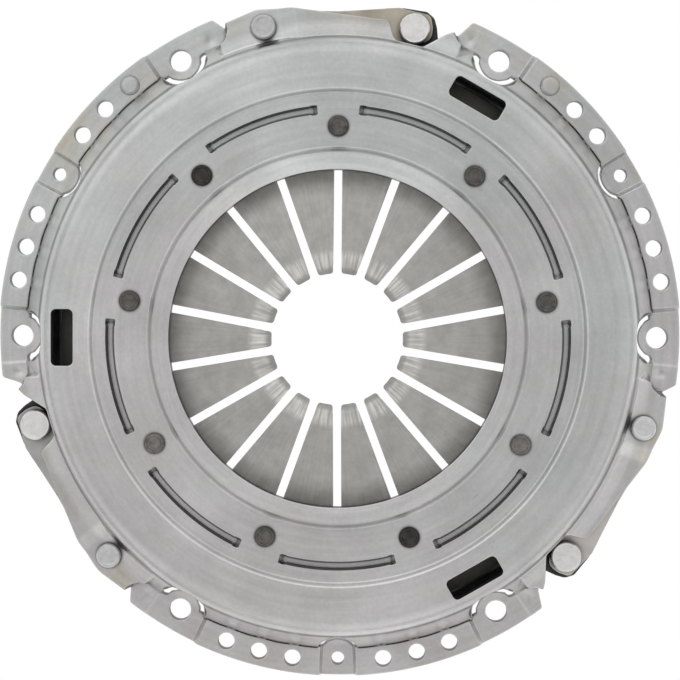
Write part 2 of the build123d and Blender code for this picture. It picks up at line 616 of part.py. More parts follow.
def strap_leaf(angle, number):
    """One leaf of a strap pack, counted from the top, at the angle of the middle of its arch."""
    chord_r, half = STRAP_CHORD_R, STRAP_SPAN / 2
    top = PAD_UNDER - SEAT_CLEARANCE - number * STRAP_SHEET
    low = top - STRAP_SET
    thin = STRAP_SHEET - SEAT_CLEARANCE / 2
    line = [(-half - STRAP_END_R - LAP, low), (-half + STRAP_FLAT, low),
            (half - STRAP_FLAT, top), (half + STRAP_END_R + LAP, top)]
    over = FilletPolyline(*[(chord_r, s, z) for s, z in line], radius=STRAP_BEND_R)
    below = FilletPolyline(*[(chord_r, s, z - thin) for s, z in line], radius=STRAP_BEND_R)
    ends = [Line(over @ 0, below @ 0), Line(over @ 1, below @ 1)]
    section = Face(Wire(over.edges() + below.edges() + ends[0].edges() + ends[1].edges()))
    leaf = extrude(section, amount=STRAP_WIDTH, both=True, dir=(1, 0, 0))
    plan = Pos(chord_r, 0) * Rectangle(STRAP_WIDTH, STRAP_SPAN)
    for side in (-half, half):
        plan += Pos(chord_r, side) * Circle(STRAP_END_R)
        plan -= Pos(chord_r, side) * Circle(COVER_RIVET_SHANK_D / 2 + HOLE_CLEARANCE)
    plan -= Pos(chord_r, -half) * Circle(LUG_RIVET_SHANK_D / 2 + HOLE_CLEARANCE)
    leaf &= upright(plan, 0, COVER_TOP)
    return Rot(0, 0, angle) * leaf


def strap_rivet(radius, angle, shank_d, head_d, head_z, head_h, dish_d, tail_z):
    """Round-headed rivet with a flat tail whose seat is at tail_z."""
    head = rivet_head(head_d, head_z, head_h, dish_d)
    shank = upright(Circle(shank_d / 2), tail_z - RIVET_TAIL_H, head_z)
    tail = upright(Circle(head_d / 2), tail_z - RIVET_TAIL_H, tail_z)
    tail = chamfer(tail.edges().sort_by(Axis.Z)[0], RIVET_TAIL_H / 3)
    return Pos(polar(radius, angle)) * (head + shank + tail)


def cover_strap_rivet(arch):
    """Rivet that joins the strap pack to the pad of the cover."""
    seat = PAD_UNDER - STRAP_PACK - 2 * SEAT_CLEARANCE
    return strap_rivet(STRAP_RIVET_R, arch + STRAP_HALF_ANGLE, COVER_RIVET_SHANK_D, COVER_RIVET_HEAD_D,
                       PAD_UNDER + SHEET, COVER_RIVET_HEAD_H, COVER_RIVET_DISH_D, seat)


def lug_rivet(arch):
    """Tall-headed rivet that joins the strap pack to the lug of the plate."""
    seat = LUG_TOP + STRAP_PACK + 2 * SEAT_CLEARANCE
    return strap_rivet(STRAP_RIVET_R, arch - STRAP_HALF_ANGLE, LUG_RIVET_SHANK_D, LUG_RIVET_HEAD_D,
                       seat, LUG_RIVET_HEAD_H, 0, LUG_UNDER + SPOT_FACE)


def balance_rivet(angle):
    """Rivet that fills one balance hole."""
    top = BALANCE_LIFT + SHEET
    shank = upright(Circle(BALANCE_HOLE_D / 2 - HOLE_CLEARANCE), BALANCE_LIFT - BALANCE_HEAD_H, top)
    head = upright(Circle(BALANCE_HEAD_D / 2), top, top + BALANCE_HEAD_H)
    head = fillet(head.edges().sort_by(Axis.Z)[-1], BALANCE_HEAD_H / 2)
    tail = upright(Circle(BALANCE_HEAD_D / 2), BALANCE_LIFT - BALANCE_HEAD_H, BALANCE_LIFT)
    tail = chamfer(tail.edges().sort_by(Axis.Z)[0], BALANCE_HEAD_H / 3)
    return Pos(polar(BALANCE_R, angle)) * (head + shank + tail)


def build():
    """Every sub-part of the assembly by name."""
    parts = {
        "cover": cover(),
        "pressure_plate": pressure_plate(),
        "diaphragm_spring": diaphragm_spring(),
        "lower_pivot_ring": lower_pivot_ring(),
    }
    for k, angle in enumerate(pivot_angles(), start=1):
        parts[f"pivot_rivet_{k}"] = pivot_rivet(angle)
    for k, angle in enumerate(arch_angles(), start=1):
        parts[f"cover_strap_rivet_{k}"] = cover_strap_rivet(angle)
        parts[f"lug_rivet_{k}"] = lug_rivet(angle)
        for leaf in range(STRAP_LEAVES):
            parts[f"strap_{k}_leaf_{leaf + 1}"] = strap_leaf(angle, leaf)
    angle_of = {(sector, place): angle for sector, place, angle in balance_places()}
    for k, place in enumerate(BALANCE_RIVETS, start=1):
        parts[f"balance_rivet_{k}"] = balance_rivet(angle_of[place])
    return parts


os.makedirs("parts", exist_ok=True)
for name, shape in build().items():
    export_step(shape, f"parts/{name}.step")
    print(name, round(shape.volume, 1), shape.is_valid)
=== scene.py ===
import json
import math

import bpy
import numpy as np
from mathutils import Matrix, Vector


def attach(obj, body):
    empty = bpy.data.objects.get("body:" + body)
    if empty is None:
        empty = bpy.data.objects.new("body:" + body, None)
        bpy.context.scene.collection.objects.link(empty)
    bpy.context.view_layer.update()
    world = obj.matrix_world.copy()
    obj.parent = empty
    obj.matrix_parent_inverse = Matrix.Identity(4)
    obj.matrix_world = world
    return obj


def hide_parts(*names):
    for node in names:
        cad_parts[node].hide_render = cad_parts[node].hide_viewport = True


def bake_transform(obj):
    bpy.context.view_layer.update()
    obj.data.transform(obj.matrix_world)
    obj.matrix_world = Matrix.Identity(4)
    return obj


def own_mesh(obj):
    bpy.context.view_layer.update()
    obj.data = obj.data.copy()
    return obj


# A clutch pressure plate seen from the gearbox side, on white.
# Sizes are in millimetres and angles in degrees; make_mesh turns them into metres.

MM = 0.001

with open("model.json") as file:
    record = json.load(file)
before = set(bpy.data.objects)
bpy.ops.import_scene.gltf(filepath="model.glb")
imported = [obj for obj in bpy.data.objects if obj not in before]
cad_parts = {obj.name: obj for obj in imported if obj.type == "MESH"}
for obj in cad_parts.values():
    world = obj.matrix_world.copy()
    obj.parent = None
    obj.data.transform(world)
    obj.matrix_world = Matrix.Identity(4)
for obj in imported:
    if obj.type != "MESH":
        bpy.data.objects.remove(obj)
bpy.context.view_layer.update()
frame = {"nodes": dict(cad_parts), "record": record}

# Where the photograph was taken from
CAMERA_PLACE = (11.67, 17.07, 720.0)
CAMERA_TILT = (-0.0257, 0.0157, 0.0033)
FOCAL_PER_WIDTH = 2.5312
SENSOR = 36.0

# Cover: profile radii and heights of the top face, down past the foot of the wall
SHEET, LEAST_SHEET = 4.5, 1.0
CHANNEL_Z = 33.0
FILLET_SHARE = 0.46
PROFILE = (
    (66.0, 42.03), (74.4, 36.7), (76.2, CHANNEL_Z), (97.9, CHANNEL_Z), (99.6, 34.6),
    (118.8, 33.3), (122.2, 22.3), (129.4, 7.0), (140.6, -16.8),
)
PROFILE_FILLETS = (1.6, 0.9, 1.0, 0.6, 16.0, 14.0, 0.5)
OPENING_R = 66.75
FLANGE_R = 141.27
EDGE_ROUND = 0.4

# Flange: levels of its underside at angles from a sector's first dowel hole
SECTOR = 120.0
DOWEL_START = 30.0
BALANCE_LIFT = 2.5
FLANGE_LINE = (
    (-2.7, 0.0), (2.7, 0.0), (3.2, BALANCE_LIFT), (24.7, BALANCE_LIFT), (25.5, 0.0), (34.5, 0.0),
    (34.9, 0.4), (85.0, 0.4), (85.4, 0.0), (94.5, 0.0), (95.3, BALANCE_LIFT), (116.8, BALANCE_LIFT),
    (117.3, 0.0),
)
BEND_ROUND = 0.13
FOOT_ROUND = 0.4
CREASE_DEPTH, CREASE_RISE, CREASE_START = 0.45, 0.5, 34.6
RIPPLE_R, RIPPLE_RUN, RIPPLE_ANGLE = 126.5, 2.0, 1.5
RIPPLE_OUT, RIPPLE_IN = 0.25, 0.2

# Arch: levels of its underside, and its sides as distances along the flange and out from a bolt
BRIDGE_UNDER = 18.0
ARCH_LINE = ((30.0, BRIDGE_UNDER), (67.8, BRIDGE_UNDER), (70.6, 15.4), (90.0, 15.4))
BRIDGE_FOOT_LINE = ((10.4, -8.0), (10.8, -1.9), (17.0, -1.5), (19.7, 0.7), (20.5, 13.0))
BRIDGE_HEAD_LINE = ((16.9, -10.0), (17.1, -3.6), (19.4, -2.6), (21.4, -0.6), (22.0, 13.0))
PAD_FOOT_LINE = ((11.4, -8.0), (11.6, -2.3), (19.0, -1.8), (21.6, 1.6), (22.2, 13.0))
PAD_HEAD_LINE = ((18.4, -10.0), (18.6, -3.8), (21.0, -2.8), (23.2, 0.4), (23.8, 13.0))
ARCH_INSET = 3.3
DIMPLE_R, DIMPLE_SHIFT, DIMPLE_DEPTH = 133.9, 6.4, 0.7
DIMPLE_WIDTHS = (2.4, 1.8)
ARCH_ROUND = 2.2
ARCH_WALL_ROUND = 1.6
TOP_SHAPED_R, UNDER_SHAPED_R = 116.0, 112.0

# Outer edge of an arch: degrees from its reference and distance from the strap rivet circle
STRAP_RIVET_R = 129.2
STRAP_HALF_ANGLE = 13.7
ARCH_MIDDLE = 90.0
ARCH_EDGE = (
    (60.0, ((6.9, 12.8), (8.3, 5.6), (9.1, 3.3))),
    (76.3, ((-5.8, 0.9), (-2.2, -7.2), (3.1, -7.2), (4.9, 0.7))),
    (103.7, ((-5.2, 5.8), (0.6, 7.9))), (120.0, ((-9.7, 6.3), (-7.8, 12.8))),
)
ARCH_EDGE_ROUNDS = (0.8, 1.5, 1.5, 3.0, 4.0, 4.5, 2.5, 20.0, 12.0, 2.0, 0.8)
TRIM_REACH = 8.0

# Holes of one sector
BOLT_ANGLES = (60.0, 120.0)
DOWEL_ANGLES = (DOWEL_START, DOWEL_START + SECTOR)
BOLT_R, BOLT_HOLE_R = 132.0, 4.5
DOWEL_R, DOWEL_HOLE_R = 134.4, 2.7
BALANCE_R, BALANCE_HOLE_R = 135.2, 3.45
BALANCE_ANGLES = (8.05, 14.1, 20.1)

# Tabs: rounded inner end; the recess over it as its radius at the flange and at the crown and how
# far in it reaches; and the slit past it as the place and radius of a circle
TAB_NOSE_R = 8.25
TAB_ROOT_R = 129.1
BOLT_RECESS = (10.15, 18.0, 119.7)
DOWEL_RECESS = (9.45, 12.6, 121.3)
BOLT_SLIT = (131.35, 9.95)
DOWEL_SLIT = (132.3, 8.95)
RECESS_ROUND, RECESS_FOOT = 2.0, -0.1
HOOK_R, HOOK_CENTRE_R, HOOK_ANGLE, HOOK_ROUND = 1.3, 128.7, 4.1, 1.2

# Windows, rivet pockets, and the grooves between the pivot rivets
WINDOW_PITCH_R, WINDOW_ANGLE = 110.4, 60.0
WINDOW_SIZE = (8.8, 22.6)
WINDOW_CORNER = 2.0
POCKET_R, POCKET_FADE = 5.7, 3.0
PIVOT_COUNT = 9
PIVOT_RIVET_R = 84.6
FULCRUM_R = 91.5
GROOVE_DEPTH = 3.2
GROOVE_FLOOR_W = 2.0
GROOVE_SIDES = (1.0, 0.5)
GROOVE_END = 5.2
GROOVE_RAMP = 1.1
GROOVE_FLARE = 0.45
BEAD_NOSE_R = 3.2

# Grid of the cover: (start, stop, step) of its radii, and its steps of angle
COVER_RADII = (
    (66.1, 73, 0.6), (73, 77, 0.2), (77, 88.6, 0.8), (88.6, 94.4, 0.22), (94.4, 97, 0.6),
    (97, 101, 0.25), (101, 115, 0.75), (115, 120, 0.35), (120, 135, 0.3), (135, 142, 0.5),
)
CLOSEST_STOPS = 0.04
COVER_STEP, TAB_STEP, RISER_STEP, JOGGLE_STEP = 0.42, 0.17, 0.14, 0.12
JOGGLE_ANGLES = (3.0, 25.2, 94.8, 117.0)
RISER_ANGLES = (66.3, 111.7)

# Diaphragm spring: top face from the finger tips to the rim
SPRING_SHEET = 2.7
SPRING_R = 113.0
CONE_ANGLE = 13.0
FINGER_ANGLE = 22.0
SPRING_TOP = 25.166
FINGER_BEND_R = 77.5
KNEE_R, CREST_R, TIP_R = 33.5, 28.6, 25.8
CREST_RISE, TIP_DROP = 0.5, 2.4
FINGER_COUNT = 18
FINGER_GAP = 3.3
KEYHOLES = ((PIVOT_RIVET_R, 5.5), (82.5, 4.0))  # slot ends by turns: place, radius
FINGER_ROUND = 1.2
SPRING_FILLETS = (2.0, 6.0, 25.0)
SPRING_RADII = ((TIP_R, 35, 0.5), (35, 72, 2.4), (72, 90, 1.2), (90, SPRING_R, 2.0))
SPRING_STEP, SPRING_SHIFT = 0.8, 0.13
SPRING_BEVEL, SPRING_BEVEL_ANGLE = 0.3, 50.0

# Drive straps: three leaves between a lug of the plate and a pad of the cover
STRAP_COUNT, LEAF_COUNT = 3, 3
STRAP_CHORD = STRAP_RIVET_R * math.cos(math.radians(STRAP_HALF_ANGLE))
STRAP_HALF = STRAP_RIVET_R * math.sin(math.radians(STRAP_HALF_ANGLE))
STRAP_SHEET = 0.9
STRAP_GAP = 0.03
STRAP_EDGES = (8.2, 8.9, 7.6)  # inner edge, outer edge at the lug and at the middle
STRAP_END_R = 7.6
STRAP_TOP = 15.35
STRAP_SET = 1.8
RIVET_GAP = 0.05
STRAP_FLAT = 11.0
STRAP_REACH = 9.6
STRAP_STEPS = (0.8, 0.7, 1.6)  # grid: across, along the ends, along the middle
STRAP_EDGE = 0.15
STRAP_HOLES = (4.1, 3.6)
STRAP_TIP = (
    (-12.0, 8.9), (-6.2, 9.2), (6.7, 6.1), (7.6, 1.1), (7.0, -3.8), (-4.0, -8.2), (-12.0, -8.2),
)
STRAP_TIP_ROUNDS = (1.5, 2.5, 6.0, 4.0, 6.0)

# Cast plate: outline of its section, and a lug as distances past its rivet and outwards
PLATE_SECTION = (
    (75.5, 4.6), (120.0, 4.6), (120.0, 8.4), (116.2, 8.7), (114.0, 15.0), (113.2, 15.0),
    (110.8, 17.8), (109.2, 17.8), (106.8, 15.0), (103.0, 15.0), (99.0, 12.05), (75.5, 12.05),
)
PLATE_FILLET, PLATE_SEGMENTS = 0.6, 240
LUG_LEVELS = (5.0, 10.8)
LUG_EDGE = 0.5
LUG_GRID = (-17.0, 15.0, 0.7)
LUG_TIP = (
    (-13.0, -16.0), (-10.4, -2.0), (-6.6, 9.9), (5.4, 8.0), (8.4, 5.3), (9.4, 1.4), (9.8, -3.0),
    (14.0, -14.0),
)
LUG_TIP_ROUNDS = (3.0, 3.0, 2.5, 3.0, 3.0, 4.0)
LUG_HOLE_R, LUG_SPOT_R, LUG_SPOT_DEPTH = 4.1, 6.4, 2.35

# Rivets: level of the head's seat, then (radius, height over the seat) from the middle of the
# head to the middle of the tail, and the fillets of the corners between
PIVOT_RIVET = (
    CHANNEL_Z,
    ((0.02, 1.68), (1.3, 1.62), (2.75, 1.62), (3.0, 1.95), (3.4, 2.0), (4.15, 1.1), (4.15, 0.0),
     (3.5, 0.0), (3.5, -14.25), (9.4, -14.25), (9.4, -15.9), (8.9, -16.45), (0.02, -16.45)),
    (0.3, 0.1, 0.1, 0.2, 0.4, 0.1, 0.1, 0.1, 0.1, 0.3, 0.3),
)
PAD_RIVET = (
    ARCH_LINE[-1][1] + SHEET,
    ((0.02, 2.55), (3.4, 2.52), (3.7, 2.72), (4.4, 2.8), (5.0, 2.2), (5.0, 0.0), (3.5, 0.0),
     (3.5, -7.3), (5.0, -7.3), (5.0, -8.7), (4.4, -9.3), (0.02, -9.3)),
    (0.2, 0.2, 0.4, 0.4, 0.1, 0.1, 0.1, 0.1, 0.2, 0.2),
)
LUG_RIVET = (
    STRAP_TOP - STRAP_SET + RIVET_GAP,
    ((0.02, 5.0), (5.2, 4.9), (5.6, 5.0), (6.2, 4.5), (6.2, 0.0), (4.0, 0.0), (4.0, -6.3),
     (5.9, -6.3), (5.9, -7.6), (5.2, -8.3), (0.02, -8.3)),
    (0.2, 0.2, 0.3, 0.1, 0.1, 0.1, 0.1, 0.2, 0.2),
)
BALANCE_RIVET = (
    BALANCE_LIFT + SHEET,
    ((0.02, 1.3), (2.9, 1.2), (3.9, 0.35), (3.9, 0.0), (3.35, 0.0), (3.35, -4.5), (3.9, -4.5),
     (3.9, -5.5), (3.3, -6.0), (0.02, -6.0)),
    (0.6, 0.2, 0.1, 0.1, 0.1, 0.1, 0.2, 0.2),
)
BALANCE_RIVET_ANGLES = (50.1, 129.9)

# Colours: pairs are the dark and the light patches of one surface
STEEL_COOL, STEEL_WARM, STEEL_STAIN = (0.59, 0.602, 0.595), (0.63, 0.605, 0.61), (0.58, 0.545, 0.47)
STEEL_ROUGHNESS = (0.28, 0.42)
STAIN_R = (124.0, 131.0)
# Rings of painted highlight (gain over 1) and painted shade (under 1) along the folds; the widest
# lightens the wall
FOLD_HIGHLIGHT_AND_SHADE_LINES = (  # radius, half width, brightness
    (76.0, 0.5, 1.3), (75.0, 0.5, 0.85), (99.75, 0.4, 1.3), (98.6, 0.6, 0.82), (125.0, 3.6, 1.2),
)
SPRING_TINTS, SPRING_METALLIC = ((0.35, 0.345, 0.325), (0.45, 0.44, 0.42)), 0.3
# Crest of the fingers brightened: worn by the release bearing, and partly a painted highlight
CREST_WEAR_AND_HIGHLIGHT, CREST_RADII = 1.75, ((35.5, 33.0), (26.8, 28.5))
# Fingers brightened towards the opening: painted light that offsets the shade under the cover's
# collar
PAINTED_LIGHT_R, PAINTED_LIGHT_GAINS = (54.0, 66.0), (1.08, 1.45)
SHADOW_R, SHADOW = (66.5, 71.0), 0.2
SIDE_SLOPES, SIDE_SHADE = (0.24, 0.38), 0.21
GRAIN_DEPTH = 0.2
IRON_TINTS = ((0.06, 0.06, 0.062), (0.13, 0.13, 0.13))
BRIGHT_TINTS = ((0.80, 0.79, 0.77), (0.93, 0.92, 0.90))
STRAP_TINTS = (
    ((0.44, 0.40, 0.33), (0.60, 0.55, 0.46)), ((0.42, 0.42, 0.41), (0.56, 0.55, 0.54)),
    ((0.52, 0.50, 0.48), (0.68, 0.64, 0.60)),
)
PAD_TONES = (0.62, 0.72, 0.8)
DARK_TONES, PIVOT_TONES = (0.06, 0.14, 0.22), (1, 0, 1, 2, 1, 0, 2, 1, 1)

# Studio: brightness of the tent by the height of its direction, the table, and the soft lamp
TENT = (
    (-1.0, 0.6), (-0.1, 0.6), (0.0, 0.2), (0.12, 0.35), (0.32, 0.98), (0.65, 0.86), (0.88, 0.73),
    (1.0, 0.57),
)
TENT_SIDES, TENT_LEAN = 0.14, 0.08
TABLE_HALF, TABLE_GAP, TABLE_WHITE = 12.0, 0.0005, 0.85
LAMP_PLACE, LAMP_SIZE, LAMP_POWER = (-0.5, 0.7, 1.3), 1.6, 1.3


def polar(radius, angle):
    """Point at a radius and an angle."""
    return np.stack([radius * np.cos(np.radians(angle)), radius * np.sin(np.radians(angle))], -1)


def to_polar(points):
    """Radius and angle of points."""
    return np.hypot(*points.T), np.degrees(np.arctan2(points[:, 1], points[:, 0]))


def rounded(points, radii, steps=7):
    """The corners of a broken line replaced by arcs."""
    points = [np.array(p, float) for p in points]
    line = [points[0]]
    for before, corner, after, radius in zip(points, points[1:], points[2:], radii):
        a, b = before - corner, after - corner
        la, lb = np.linalg.norm(a), np.linalg.norm(b)
        a, b = a / la, b / lb
        half = math.acos(np.clip(a @ b, -1, 1)) / 2
        reach = min(radius / math.tan(half), FILLET_SHARE * min(la, lb))
        radius = reach * math.tan(half)
        centre = corner + (a + b) / np.linalg.norm(a + b) * radius / math.sin(half)
        start, end = corner + a * reach - centre, corner + b * reach - centre
        for t in np.linspace(0, 1, steps):
            chord = start * (1 - t) + end * t
            line.append(centre + chord / np.linalg.norm(chord) * radius)
    line.append(points[-1])
    return np.array(line)


def lowered(points, depth):
    """A broken line moved square to itself, towards its right-hand side."""
    points = np.array(points, float)
    runs = np.arctan2(np.diff(points[:, 1]), np.diff(points[:, 0]))
    before, after = np.insert(runs, 0, runs[0]), np.append(runs, runs[-1])
    reach, lean = depth / np.cos((before - after) / 2), (before + after) / 2
    return points + np.stack([reach * np.sin(lean), -reach * np.cos(lean)], 1)


def broken(angle, steps):
    """Height of a broken line of (angle, height), with its bends rounded."""
    places, levels = np.array(steps).T
    shifts = np.linspace(-BEND_ROUND, BEND_ROUND, 5)
    return np.mean([np.interp(angle + shift, places, levels) for shift in shifts], 0)


def smooth_max(a, b, blend):
    """Larger of two heights, with a fillet where they cross."""
    lap = np.maximum(blend - np.abs(a - b), 0)
    return np.maximum(a, b) + lap * lap / (4 * blend)


def smooth_min(a, b, blend):
    """Smaller of two heights, with a fillet where they cross."""
    return -smooth_max(-a, -b, blend)


def hump(distance, width):
    """Rounded bump: 1 in the middle, fading out over a width."""
    return np.exp(-(distance / width) ** 2)


def inside_polygon(points, polygon):
    """Signed distance to a closed polygon, positive inside."""
    nearest = np.full(len(points), np.inf)
    inside = np.zeros(len(points), bool)
    for a, b in zip(polygon, np.roll(polygon, -1, 0)):
        side, offset = b - a, points - a
        t = np.clip(offset @ side / (side @ side), 0, 1)
        nearest = np.minimum(nearest, np.linalg.norm(offset - t[:, None] * side, axis=1))
        crosses = (a[1] > points[:, 1]) != (b[1] > points[:, 1])
        rise = np.where(crosses, b[1] - a[1], 1)
        inside ^= crosses & (points[:, 0] < (b[0] - a[0]) * (points[:, 1] - a[1]) / rise + a[0])
    return np.where(inside, nearest, -nearest)


def inside_box(points, centre, angle, size, corner):
    """Signed distance to a rounded rectangle turned to an angle, positive inside."""
    out, along = polar(1, angle), polar(1, angle + 90)
    local = np.stack([(points - centre) @ out, (points - centre) @ along], 1)
    reach = np.abs(local) - np.array(size) / 2 + corner
    return corner - np.linalg.norm(np.maximum(reach, 0), axis=1) - np.minimum(reach.max(1), 0)


def inside_circle(points, centre, radius):
    """Signed distance to a circle, positive inside."""
    return radius - np.linalg.norm(points - centre, axis=1)


# Meshes

def spaced(*runs):
    """Values from one stop to the next at the steps given: (start, stop, step)."""
    steps = [np.linspace(a, b, int(round((b - a) / d)), endpoint=False) for a, b, d in runs]
    return np.append(np.concatenate(steps), runs[-1][1])


def trimmed_grid(us, vs, left, turn=None):
    """Cells of a grid trimmed where left() is above 0; vs closes on itself after a turn.

    Gives the (u, v) of each vertex, how many lie on grid points, the faces seen from above,
    and the edges along the outline.
    """
    uu, vv = np.meshgrid(us, vs, indexing="ij")
    value = left(uu.ravel(), vv.ravel()).reshape(uu.shape)
    keep = value > 0
    number = np.full(uu.shape, -1)
    number[keep] = np.arange(keep.sum())
    after = np.roll(np.arange(uu.shape[1]), -1)
    cell = np.stack([number[:-1], number[1:], number[1:, after], number[:-1, after]], -1)
    if turn is None:
        cell = cell[:, :-1]
    full = (cell >= 0).all(-1)
    faces = cell[full].tolist()
    crossings, extra, rims = {}, [], []

    def crossing(p, q):
        p, q = min(p, q), max(p, q)
        if (p, q) not in crossings:
            t = value[p] / (value[p] - value[q])
            end = vv[q] + (turn * round((vv[p] - vv[q]) / turn) if turn else 0)
            extra.append((uu[p] * (1 - t) + uu[q] * t, vv[p] * (1 - t) + end * t))
            crossings[p, q] = int(keep.sum()) + len(extra) - 1
        return crossings[p, q]

    for i, j in zip(*np.where((cell >= 0).any(-1) & ~full)):
        ring = [(i, j), (i + 1, j), (i + 1, after[j]), (i, after[j])]
        face, cuts = [], []
        for p, q in zip(ring, ring[1:] + ring[:1]):
            if keep[p]:
                face.append(int(number[p]))
            if keep[p] != keep[q]:
                face.append(crossing(p, q))
                cuts.append((face[-1], keep[p]))
        faces.append(face)
        following = cuts[1:] + cuts[:1]
        rims += [(v, after_v) for (v, leaving), (after_v, _) in zip(cuts, following) if leaving]
    places = np.vstack([np.stack([uu[keep], vv[keep]], 1), np.array(extra).reshape(-1, 2)])
    return places, int(keep.sum()), faces, rims


def outward(left, places, plan, step=0.05):
    """Unit vectors square to the outline, away from the sheet, at points on it."""
    def at(moved):
        return left(*(to_polar(moved) if plan is polar else moved.T))
    points = plan(*places.T)
    slope = np.stack([at(points + d) - at(points - d) for d in ((step, 0), (0, step))], 1)
    return -slope / np.maximum(np.linalg.norm(slope, axis=1, keepdims=True), 1e-9)


def flat_plan(x, y):
    """Points from two straight coordinates."""
    return np.stack([x, y], -1)


def cut_sheet(us, vs, left, top, under, edge, plan=polar, turn=360.0):
    """Vertices and faces of a closed sheet between two heights, with its top edge rounded."""
    places, on_grid, faces, rims = trimmed_grid(us, vs, lambda u, v: left(u, v) - edge, turn)
    points, heights = plan(*places.T), top(*places.T)
    away = outward(left, places[on_grid:], plan)
    lip, lip_z = points[on_grid:], heights[on_grid:]
    foot = points.copy()
    foot[on_grid:] += away * edge
    foot_z = under(*(to_polar(foot) if plan is polar else foot.T))
    turned = math.sqrt(0.5)
    middle = np.column_stack([lip + away * edge * turned, lip_z - edge * (1 - turned)])
    end = np.column_stack([foot[on_grid:], lip_z - edge])
    count, cuts = len(points), len(lip)
    upper, lower = np.column_stack([points, heights]), np.column_stack([foot, foot_z])
    vertices = np.vstack([upper, lower, middle, end])
    levels = [0, 2 * count - on_grid, 2 * count + cuts - on_grid, count]
    closed = faces + [[count + v for v in reversed(face)] for face in faces]
    for a, b in rims:
        for high, low in zip(levels, levels[1:]):
            closed.append([b + high, a + high, a + low, b + low])
    return vertices, closed


def in_scene(name, data):
    """New object of the scene."""
    thing = bpy.data.objects.new(name, data)
    bpy.context.scene.collection.objects.link(thing)
    return thing


def make_mesh(name, vertices, faces, look, slot, sharp=38.0):
    """Object from vertices in millimetres, smooth except at its sharp edges."""
    mesh = bpy.data.meshes.new(name)
    mesh.from_pydata((np.asarray(vertices) * MM).tolist(), [], faces)
    mesh.validate()
    mesh.polygons.foreach_set("use_smooth", np.ones(len(mesh.polygons), bool))
    mesh.set_sharp_from_angle(angle=math.radians(sharp))
    mesh.materials.append(look)
    piece = in_scene(name, mesh)
    return piece


def angle_stops(step, *closer):
    """Angles of a full turn, closer together round places of each sector: (angle, reach, step)."""
    stops = list(np.arange(0, 360, step))
    for angle, reach, fine in closer:
        for sector in range(3):
            middle = angle + sector * SECTOR
            stops = [a for a in stops if abs((a - middle + 180) % 360 - 180) > reach + fine / 2]
            stops += list(middle + np.arange(-reach, reach + fine / 2, fine))
    stops = np.sort(np.mod(stops, 360.0))
    return stops[np.insert(np.diff(stops) > CLOSEST_STOPS, 0, True)]


# Cover

def profile_lines():
    """Top and underside of the pressed profile as dense lines of (radius, height)."""
    radii, heights = np.array(PROFILE).T
    slopes = np.diff(heights) / np.diff(radii)
    under = []
    for k, radius in enumerate(PROFILE_FILLETS):
        hollow = slopes[k + 1] > slopes[k]
        under.append(radius + SHEET if hollow else max(radius - SHEET, EDGE_ROUND))
    return rounded(PROFILE, PROFILE_FILLETS), rounded(lowered(PROFILE, SHEET), under)


def arch_plan(bridge_side, pad_side, inset):
    """Plan of an arch between its two sides moved inwards."""
    bridge, pad = lowered(bridge_side, inset), lowered(pad_side, inset)
    bridge[:, 0] = BOLT_ANGLES[0] + np.degrees(bridge[:, 0] / BOLT_R)
    pad[:, 0] = BOLT_ANGLES[1] - np.degrees(pad[:, 0] / BOLT_R)
    line = np.vstack([bridge, (ARCH_MIDDLE, 2 * FLANGE_R - BOLT_R), pad[::-1]])
    plan = polar(line[:, 1] + BOLT_R, line[:, 0])
    return np.vstack([polar(100.0, line[0, 0]), plan, polar(100.0, line[-1, 0])])


TOP_LINE, UNDER_LINE = profile_lines()
ARCH_SIDES = ((BRIDGE_FOOT_LINE, PAD_FOOT_LINE), (BRIDGE_HEAD_LINE, PAD_HEAD_LINE))
ARCH_PLANS = {
    inset: [arch_plan(*sides, inset) for sides in ARCH_SIDES] for inset in (0.0, ARCH_INSET)
}


def in_sector(angle):
    """The same place in the sector that runs from the first dowel hole to the next."""
    return (angle - DOWEL_START) % SECTOR + DOWEL_START


def balance_angles():
    """Balance holes of one sector, on both sides of the dowel hole at each end."""
    near = [DOWEL_START + a for a in BALANCE_ANGLES]
    return near + [2 * DOWEL_START + SECTOR - a for a in near]


def arch_height(points, angle, inset, sheet):
    """Height of an arch: steep sides up to a bridge and a lower pad."""
    foot, head = (inside_polygon(points, plan) for plan in ARCH_PLANS[inset])
    side = BRIDGE_UNDER * foot / np.maximum(foot - head, 0.1)
    level = broken(angle - DOWEL_START, ARCH_LINE)
    return smooth_min(side, level, ARCH_ROUND) + sheet


def recess_height(points, centre, sizes):
    """Height of the recess over a tab: a leaning cone, wider towards the crown."""
    low_r, high_r, inner_r = sizes
    out = centre / np.linalg.norm(centre)
    move = inner_r + high_r - centre @ out
    offset = points - centre
    a = move ** 2 - (high_r - low_r) ** 2
    b = move * (offset @ out) + low_r * (high_r - low_r)
    c = (offset ** 2).sum(1) - low_r ** 2
    share = (np.sqrt(np.maximum(b * b - a * c, 0)) - b) / -a
    return SHEET + (CHANNEL_Z - 2 * SHEET) * np.maximum(share, RECESS_FOOT)


def tabs():
    """Centre of each tab's hole in one sector, its recess and its slit's circle."""
    bolts = [(polar(BOLT_R, a), BOLT_RECESS, BOLT_SLIT) for a in BOLT_ANGLES]
    dowels = [(polar(DOWEL_R, a), DOWEL_RECESS, DOWEL_SLIT) for a in DOWEL_ANGLES]
    return bolts + dowels


def pivot_offset(angle):
    """Angle from the nearest pivot rivet."""
    pitch = 360.0 / PIVOT_COUNT
    return (angle - ARCH_MIDDLE + pitch / 2) % pitch - pitch / 2


def groove(radius, angle):
    """Depth of the grooves: steep sides and a ramp at each end."""
    inward = np.abs(pivot_offset(angle)) - GROOVE_END
    ramp = np.clip(inward / GROOVE_RAMP, 0, 1)
    flare = GROOVE_FLARE * np.clip(1 - inward / (2 * GROOVE_RAMP), 0, 1)
    side = np.abs(radius - FULCRUM_R) - GROOVE_FLOOR_W / 2 - flare
    fall = np.clip(1 - side / np.where(radius < FULCRUM_R, *GROOVE_SIDES), 0, 1)
    return GROOVE_DEPTH * fall * ramp


